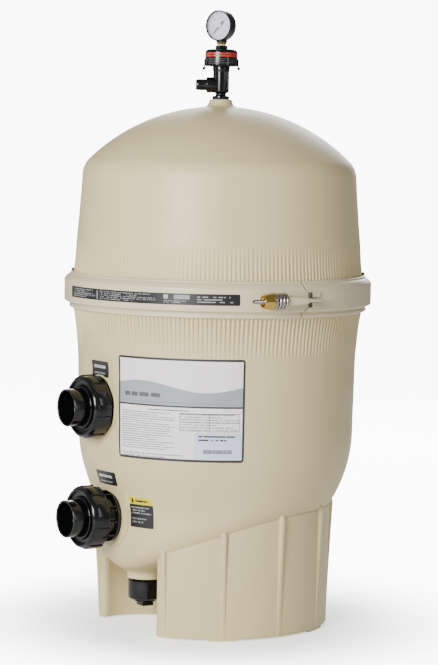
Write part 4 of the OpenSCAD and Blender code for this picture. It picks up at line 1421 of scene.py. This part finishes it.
    def make(self) -> None:
        """Builds and places the stem, valve and gauge."""
        valve_body = "relief_valve"
        place("vent_stem", self.stem(), "lid", Slot.BLACK, ["relief_stem"])
        place("vent_valve_body", self.valve(), valve_body, Slot.BLACK, ["relief_valve_body"])
        for node, angle in (("left", self.vent_az), ("right", self.vent_az + 180)):
            place(f"vent_tab_{node}", self.tab(angle), f"{node}_lock_tab", Slot.BLACK, [f"lock_tab_{node}"])
        case = lathe(fillet([(0, -9), (26.5, -9), (28.2, -7.5), (28.2, 8.4), (27.6, 9.0), (26.8, 9.0),
                             (26.8, 2.0), (26.6, -6.5), (0, -6.5)],
                            1.0, 3), 96)
        place("gauge_shell", moved(case, self.at_gauge()), valve_body, Slot.BLACK, ["gauge_case"])
        bezel = lathe(fillet([(26.2, 9.0), (28.6, 9.0), (28.6, 10.8), (27.8, 11.8), (26.7, 11.8), (26.0, 10.4)],
                             0.6, 3), 96)
        place("gauge_rim", moved(bezel, self.at_gauge()), valve_body, Slot.BLACK, ["gauge_bezel"])
        face = lathe(fillet([(1.5, 3), (26.7, 3), (26.7, 3.8), (1.5, 3.8)], 0.1, 1), 96)
        place("gauge_face", moved(face, self.at_gauge()), valve_body, Slot.DIAL, ["gauge_dial"])
        place("gauge_scale", self.ticks(), valve_body, Slot.BLACK)
        place("gauge_numbers", self.numbers(), valve_body, Slot.BLACK)
        window = lathe(fillet([(0, 8), (26.7, 8), (26.7, 9), (0, 9.0)], 0.2, 1), 72)
        place("gauge_window", moved(window, self.at_gauge()), valve_body, Slot.LENS, ["gauge_lens"])
        hub = lathe(fillet([(0, 0), (1.2, 0), (1.2, 4.4), (3.2, 4.6), (3.2, 5.6), (2.2, 6.2), (0, 6.2)], 0.3, 2), 32)
        hand = prism([(-11, -2.6), (-3, -2.4), (0, -2.0), (20, -1.6), (22, 0), (20, 1.6), (0, 2.0), (-3, 2.4),
                      (-11, 2.6)], 4.6, 5.4, 0.1)
        pointer = joined([hub, moved(hand, Matrix.Rotation(math.radians(-135), 4, "Z"))])
        place("gauge_hand", moved(pointer, self.at_gauge()), "gauge_pointer", Slot.BLACK, ["gauge_needle"])
        cap = lathe(fillet([(0, 5.0), (3.5, 5.0), (3.5, 6.4), (0, 6.6)], 0.3, 2), 32)
        place("gauge_hand_cap", moved(cap, self.at_gauge()), "gauge_pointer", Slot.WHITE)
        square = moved(block((-7, -7, 1078.8), (7, 7, 1083.2), 0.8), turn(self.gauge_az))
        neck = lathe(fillet([(0, 1067), (6.1, 1067), (6.1, 1081), (6.0, 1089), (0, 1089)], 0.3, 2), 40)
        place("gauge_brass_stub", joined([square, neck]), valve_body, Slot.BRASS, ["gauge_socket"])
        tape = lathe(fillet([(6.3, 1076.8), (8.3, 1076.9), (7.4, 1077.5), (8.1, 1078.0), (7.4, 1078.5),
                             (6.3, 1078.9)], 0.3, 2), 48)
        place("stub_tape", tape, valve_body, Slot.TAPE, ["thread_tape"])
        band = self.sleeve(self.valve_r + 0.05, self.valve_r + 0.45, 1055.6, 1063.0)
        place("valve_print_lines", self.print_lines(), valve_body, Slot.WHITE, material=FAINT_PRINT)
        place("valve_print_band", band, valve_body, Slot.RED, ["valve_band"], material=MARKINGS["band"])

    def print_lines(self) -> bmesh.types.BMesh:
        """Pale raised lines of print low on the valve body."""
        parts = []
        for z, first, last in ((1042.6, 8, 40), (1045.6, 8, 34), (1048.6, 8, 40), (1051.6, 8, 34),
                               (1043.4, 50, 76), (1047.4, 48, 70),
                               (1051.0, 50, 76), (1044.4, 88, 106), (1048.6, 90, 104)):
            parts.append(wrap(lambda a, h: self.valve_r + 0.95, first, last, z, z + 1.1, 1.2, 12, 2))
        return joined(parts)

    def sleeve(self, inner: float, outer: float, low: float, high: float) -> bmesh.types.BMesh:
        """A thin band with a UV map that runs round it."""
        return wrap(lambda a, z: outer, 0, 360, low, high, outer - inner, 120, 2)


# ---------------------------------------------------------------- labels


def wrap(radius: Callable[[float, float], float], first: float, last: float, low: float, high: float,
         thickness: float, columns: int = 48, rows: int = 24, corner: float = 0.0) -> bmesh.types.BMesh:
    """A thin sheet on a round wall, with a UV map from 0 to 1.

    Args:
        radius: Outer radius of the sheet at an azimuth and a height, in millimetres.
        first: First azimuth in degrees.
        last: Last azimuth in degrees.
        low: Lowest height in millimetres.
        high: Highest height in millimetres.
        thickness: Thickness in millimetres.
        columns: Steps along the sheet.
        rows: Steps up the sheet.
        corner: Radius of the sheet's rounded corners in millimetres.

    Returns:
        A closed bmesh.
    """
    bm = bmesh.new()
    uv = bm.loops.layers.uv.new("UVMap")
    mid = radius((first + last) / 2, (low + high) / 2)
    width = math.radians(last - first) * mid

    def corner_pull(u: float, v: float) -> tuple[float, float]:
        """Moves points near a corner onto its arc."""
        if corner <= 0:
            return u, v
        x, y = u * width, v * (high - low)
        cx = min(max(x, corner), width - corner)
        cy = min(max(y, corner), high - low - corner)
        d = math.hypot(x - cx, y - cy)
        box = max(abs(x - cx), abs(y - cy))
        if d > 1e-9:
            x, y = cx + (x - cx) * box / d, cy + (y - cy) * box / d
        return x / width, y / (high - low)

    layers = []
    marks: dict[bmesh.types.BMVert, tuple[float, float]] = {}
    for depth in (0.0, thickness):
        layer = []
        for j in range(rows + 1):
            line = []
            for i in range(columns + 1):
                u, v = corner_pull(i / columns, j / rows)
                a, z = first + (last - first) * u, low + (high - low) * v
                r = radius(a, z) - depth
                vert = bm.verts.new((r * MM * math.sin(math.radians(a)), -r * MM * math.cos(math.radians(a)), z * MM))
                marks[vert] = (u, v)
                line.append(vert)
            layer.append(line)
        layers.append(layer)
    front, back = layers
    for j in range(rows):
        for i in range(columns):
            bm.faces.new((front[j][i], front[j][i + 1], front[j + 1][i + 1], front[j + 1][i]))
            bm.faces.new((back[j][i], back[j + 1][i], back[j + 1][i + 1], back[j][i + 1]))
    edge = [(j, 0) for j in range(rows + 1)] + [(rows, i) for i in range(1, columns + 1)]
    edge += [(j, columns) for j in range(rows - 1, -1, -1)] + [(0, i) for i in range(columns - 1, 0, -1)]
    for k, (j, i) in enumerate(edge):
        m, n = edge[(k + 1) % len(edge)]
        bm.faces.new((front[j][i], front[m][n], back[m][n], back[j][i]))
    if last - first > 359.99:
        bmesh.ops.remove_doubles(bm, verts=bm.verts, dist=1e-7)
    for face in bm.faces:
        for loop in face.loops:
            if loop.vert in marks:
                loop[uv].uv = marks[loop.vert]
    bmesh.ops.recalc_face_normals(bm, faces=bm.faces)
    return bm


INK_DARK: Colour = (0.008, 0.008, 0.010)
GREY_INK: Colour = (0.22, 0.23, 0.26)

MARKINGS = {
    "main": LabelFinish("main_label_print", (0.80, 0.75, 0.745), (
        Print(0.0, 1.0, 0.525, 0.542, INK_DARK),
        Print(0.05, 0.40, 0.59, 0.68, (0.07, 0.07, 0.08), rows=1, words=30, weight=0.56),
        Print(0.04, 0.96, 0.553, 0.583, GREY_INK, rows=1, words=90, weight=0.62),
        Print(0.27, 0.62, 0.485, 0.505, INK_DARK, rows=1, words=60, weight=0.66),
        Print(0.03, 0.485, 0.10, 0.475, GREY_INK, rows=17, words=85, weight=0.62),
        Print(0.52, 0.965, 0.30, 0.475, GREY_INK, rows=7, words=85, weight=0.60),
        Print(0.52, 0.965, 0.468, 0.474, INK_DARK), Print(0.52, 0.965, 0.386, 0.390, INK_DARK),
        Print(0.52, 0.965, 0.298, 0.302, INK_DARK), Print(0.52, 0.523, 0.30, 0.472, INK_DARK),
        Print(0.74, 0.743, 0.30, 0.472, INK_DARK), Print(0.962, 0.965, 0.30, 0.472, INK_DARK),
        Print(0.63, 0.985, 0.03, 0.285, (0.55, 0.62, 0.74)),
        Print(0.66, 0.96, 0.20, 0.27, INK_DARK, rows=2, words=50, weight=0.6),
        Print(0.70, 0.93, 0.06, 0.15, INK_DARK, rows=1, words=420, weight=0.52),
        Print(0.03, 0.60, 0.02, 0.07, GREY_INK, rows=2, words=90, weight=0.58),
        Print(-0.1, 0.016, -0.1, 1.1, INK_DARK), Print(0.984, 1.1, -0.1, 1.1, INK_DARK),
        Print(-0.1, 1.1, -0.1, 0.025, INK_DARK), Print(-0.1, 1.1, 0.978, 1.1, INK_DARK),
    ), wave=(0.27, 0.30, 0.32)),
    "port": LabelFinish("port_label_print", (0.012, 0.012, 0.013), (
        Print(0.12, 0.88, 0.42, 0.84, (0.5, 0.5, 0.5), rows=1, words=22, weight=0.56),
        Print(0.15, 0.85, 0.12, 0.34, (0.3, 0.3, 0.3), rows=1, words=60, weight=0.55),)),
    "notice": LabelFinish("notice_label_print", (0.012, 0.012, 0.013), (
        Print(-0.1, 1.1, 0.76, 1.1, (0.66, 0.54, 0.0)),
        Print(0.26, 0.86, 0.80, 0.95, INK_DARK, rows=1, words=30, weight=0.62),
        Print(0.12, 0.20, 0.80, 0.95, INK_DARK),
        Print(0.06, 0.90, 0.42, 0.70, (0.34, 0.34, 0.34), rows=3, words=44, weight=0.52),
        Print(0.06, 0.80, 0.12, 0.34, (0.30, 0.30, 0.30), rows=2, words=44, weight=0.50),)),
    "clamp": LabelFinish("clamp_label_print", (0.010, 0.010, 0.011), (
        Print(0.03, 0.235, 0.10, 0.90, (0.30, 0.30, 0.30), rows=5, words=90, weight=0.56),
        Print(0.248, 0.256, 0.12, 0.88, (0.30, 0.30, 0.30)),
        Print(0.27, 0.60, 0.10, 0.90, (0.28, 0.28, 0.28), rows=5, words=90, weight=0.54),
        Print(0.64, 0.66, 0.52, 0.86, (0.45, 0.45, 0.45)), Print(0.69, 0.765, 0.50, 0.88, (0.26, 0.26, 0.26)),
        Print(0.64, 0.76, 0.14, 0.40, (0.30, 0.30, 0.30), rows=2, words=90, weight=0.54),
        Print(0.80, 0.97, 0.18, 0.84, (0.30, 0.30, 0.30), rows=3, words=40, weight=0.52),)),
    "band": LabelFinish("valve_band_print", (0.50, 0.020, 0.012), (
        Print(0.02, 0.98, 0.15, 0.85, (0.05, 0.01, 0.01), rows=1, words=46, weight=0.6),)),
}
FAINT_PRINT = Finish("faint_print", (0.055, 0.058, 0.06), roughness=0.5).build()
MARKINGS = {key: mark.build() for key, mark in MARKINGS.items()}


@dataclass
class Labels:
    """The vinyl labels, each a thin sheet on the surface below it."""

    form: TankForm = field(default_factory=lambda: FORM)
    proud: float = 0.35

    def sheet(self, first: float, last: float, low: float, high: float, columns: int, rows: int,
              corner: float) -> bmesh.types.BMesh:
        """A label on the tank, its radius read from a grid of the surface."""
        us, vs = np.radians(np.linspace(first - 1, last + 1, 40)), np.linspace(low - 3, high + 3, 40)
        origin = np.zeros((40, 40, 3))
        origin[..., 2] = vs[:, None]
        ray = np.zeros((40, 40, 3))
        ray[..., 0], ray[..., 1] = np.sin(us)[None], -np.cos(us)[None]
        field_r = self.form.march(origin, ray)

        def radius(a: float, z: float) -> float:
            """Surface radius from the grid, with the label's own thickness."""
            i = (math.radians(a) - us[0]) / (us[1] - us[0])
            j = (z - vs[0]) / (vs[1] - vs[0])
            i0, j0 = min(int(i), 38), min(int(j), 38)
            s, t = i - i0, j - j0
            low_r = field_r[j0, i0] * (1 - s) + field_r[j0, i0 + 1] * s
            high_r = field_r[j0 + 1, i0] * (1 - s) + field_r[j0 + 1, i0 + 1] * s
            return low_r * (1 - t) + high_r * t + self.proud

        return wrap(radius, first, last, low, high, self.proud + 0.3, columns, rows, corner)

    def make(self) -> None:
        """Builds and places the labels."""
        place("rating_label", self.sheet(14.5, 68.5, 331, 515.5, 64, 40, 5.0), "tank", Slot.LABEL,
              ["main_label"], MARKINGS["main"])
        place("inlet_port_label", self.sheet(-6.2, 7.0, 470, 499, 16, 10, 2.0), "tank", Slot.LABEL_BLACK,
              ["inlet_label"], MARKINGS["port"])
        place("outlet_port_label", self.sheet(-4.2, 10.1, 272.5, 298, 16, 10, 2.0), "tank", Slot.LABEL_BLACK,
              ["outlet_label"], MARKINGS["port"])
        place("service_label", self.sheet(15.6, 28.6, 201, 257, 20, 24, 1.0), "tank", Slot.LABEL_YELLOW,
              ["notice_label"], MARKINGS["notice"])
        strip = wrap(lambda a, z: 286.5 + self.proud, -11, 65, 613, 633, self.proud + 0.3, 120, 4, 1.0)
        place("band_label", strip, "tank", Slot.LABEL_BLACK, ["clamp_label"], MARKINGS["clamp"])


# ---------------------------------------------------------------- inside and stage


def dress_inside() -> None:
    """Gives every CAD node that still shows the finish of its slot."""
    for part in frame["record"]["subparts"]:
        node = frame["nodes"][part["node"]]
        slot = Slot(part["material_slot"])
        if node.hide_render or slot not in MATERIALS:
            continue
        for holder in node.material_slots:
            holder.material = MATERIALS[slot]


@dataclass
class Studio:
    """Pale floor, soft lights and the camera."""

    azimuth: float = 57.0
    distance: float = 4.52
    height: float = 0.9155
    pitch: float = 4.72
    roll: float = 0.93
    lens: float = 131.0
    backdrop: float = 10.0
    surround: float = 0.30
    # Camera glow of the floor next to the tank: painted shade round the base.
    base_painted_shade_glow: float = 1.2

    def camera(self) -> None:
        """Sets the camera on the object from its front right."""
        a, p = math.radians(self.azimuth), math.radians(self.pitch)
        data = bpy.data.cameras.new("camera")
        data.lens, data.sensor_width, data.shift_x = self.lens, 36.0, 0.003
        camera = bpy.data.objects.new("camera", data)
        bpy.context.scene.collection.objects.link(camera)
        centre = AXIS.translation
        outward = Vector((math.sin(a), -math.cos(a), 0))
        camera.location = centre + outward * self.distance + Vector((0, 0, self.height))
        look = Vector((-math.sin(a) * math.cos(p), math.cos(a) * math.cos(p), -math.sin(p)))
        camera.rotation_mode = "QUATERNION"
        camera.rotation_quaternion = look.to_track_quat("-Z", "Y") @ Quaternion((0, 0, 1), math.radians(self.roll))
        bpy.context.scene.camera = camera

    def floor(self) -> None:
        """A wide flat pale floor; to the camera it glows, dimmer near the tank as a painted shade round the base and
        brighter further out.
        """
        bm = bmesh.new()
        bmesh.ops.create_circle(bm, cap_ends=True, segments=96, radius=30.0)
        mesh = bpy.data.meshes.new("floor")
        bm.to_mesh(mesh)
        bm.free()
        material = bpy.data.materials.new("pale_floor")
        material.use_nodes = True
        shader = material.node_tree.nodes["Principled BSDF"]
        shader.inputs["Base Color"].default_value = (0.93, 0.93, 0.94, 1)
        shader.inputs["Roughness"].default_value = 0.7
        shader.inputs["Specular IOR Level"].default_value = 0.2
        shader.inputs["Emission Color"].default_value = (1.0, 1.0, 1.0, 1)
        tree = material.node_tree
        path, where = tree.nodes.new("ShaderNodeLightPath"), tree.nodes.new("ShaderNodeTexCoord")
        reach, glow = tree.nodes.new("ShaderNodeVectorMath"), tree.nodes.new("ShaderNodeMapRange")
        seen = tree.nodes.new("ShaderNodeMath")
        # Camera-only glow that rises from the painted shade near the tank to the backdrop's white further out.
        reach.operation, seen.operation, glow.interpolation_type = "LENGTH", "MULTIPLY", "SMOOTHSTEP"
        glow.inputs["From Min"].default_value, glow.inputs["From Max"].default_value = 0.22, 0.62
        glow.inputs["To Min"].default_value, glow.inputs["To Max"].default_value = self.base_painted_shade_glow, self.backdrop
        tree.links.new(where.outputs["Object"], reach.inputs[0])
        tree.links.new(reach.outputs["Value"], glow.inputs["Value"])
        tree.links.new(path.outputs["Is Camera Ray"], seen.inputs[0])
        tree.links.new(glow.outputs["Result"], seen.inputs[1])
        tree.links.new(seen.outputs[0], shader.inputs["Emission Strength"])
        mesh.materials.append(material)
        floor = bpy.data.objects.new("floor", mesh)
        bpy.context.scene.collection.objects.link(floor)

    def light(self, name: str, azimuth: float, distance: float, height: float, size: float, power: float,
              aim: float = 0.55, tall: float = 1.0) -> None:
        """One soft light that looks at the tank, `tall` times as high as it is wide."""
        data = bpy.data.lights.new(name, "AREA")
        data.shape = "RECTANGLE"
        data.size, data.size_y, data.energy = size, size * tall, power
        lamp = bpy.data.objects.new(name, data)
        lamp.visible_camera = False
        bpy.context.scene.collection.objects.link(lamp)
        a = math.radians(azimuth)
        lamp.location = AXIS.translation + Vector((math.sin(a), -math.cos(a), 0)) * distance + Vector((0, 0, height))
        target = AXIS.translation + Vector((0, 0, aim))
        lamp.rotation_mode = "QUATERNION"
        lamp.rotation_quaternion = (target - lamp.location).to_track_quat("-Z", "Y")

    def world(self) -> None:
        """White behind the object, and a dimmer even surround that lights it."""
        world = bpy.data.worlds.new("studio")
        bpy.context.scene.world = world
        world.use_nodes = True
        tree = world.node_tree
        back = tree.nodes["Background"]
        back.inputs["Color"].default_value = (1.0, 1.0, 1.0, 1)
        path, level = tree.nodes.new("ShaderNodeLightPath"), tree.nodes.new("ShaderNodeMapRange")
        level.inputs["To Min"].default_value, level.inputs["To Max"].default_value = self.surround, self.backdrop
        tree.links.new(path.outputs["Is Camera Ray"], level.inputs["Value"])
        tree.links.new(level.outputs["Result"], back.inputs["Strength"])

    def make(self) -> None:
        """Sets up the stage."""
        self.camera()
        self.floor()
        self.world()
        self.light("key", self.azimuth - 28, 3.4, 1.5, 1.3, 190, aim=0.5)
        self.light("fill", self.azimuth - 90, 3.0, 1.6, 1.6, 9, aim=0.5)
        self.light("back", self.azimuth + 172, 3.2, 1.8, 2.0, 95, aim=0.45)
        self.light("strip", self.azimuth + 44, 2.8, 1.2, 0.16, 7, aim=0.8, tall=12.0)


def dial_finish() -> bpy.types.Material:
    """White dial face with a faint violet cast."""
    return Finish("dial_face", (0.66, 0.66, 0.80), roughness=0.4, mottle=0.03, bump=0.02).build()


def main() -> None:
    """Builds the stage and every sub-assembly in order."""
    logging.basicConfig(level=logging.INFO, format="%(name)s: %(message)s")
    MATERIALS[Slot.DIAL] = dial_finish()
    Studio().make()
    LowerTank().make()
    Lid().make()
    Clamp().make()
    for name, height in (("inlet", FORM.inlet_z), ("outlet", FORM.outlet_z)):
        Union(name, height).make()
    Drain().make()
    ReliefStack().make()
    Labels().make()
    dress_inside()


if __name__ == "__main__":
    main()
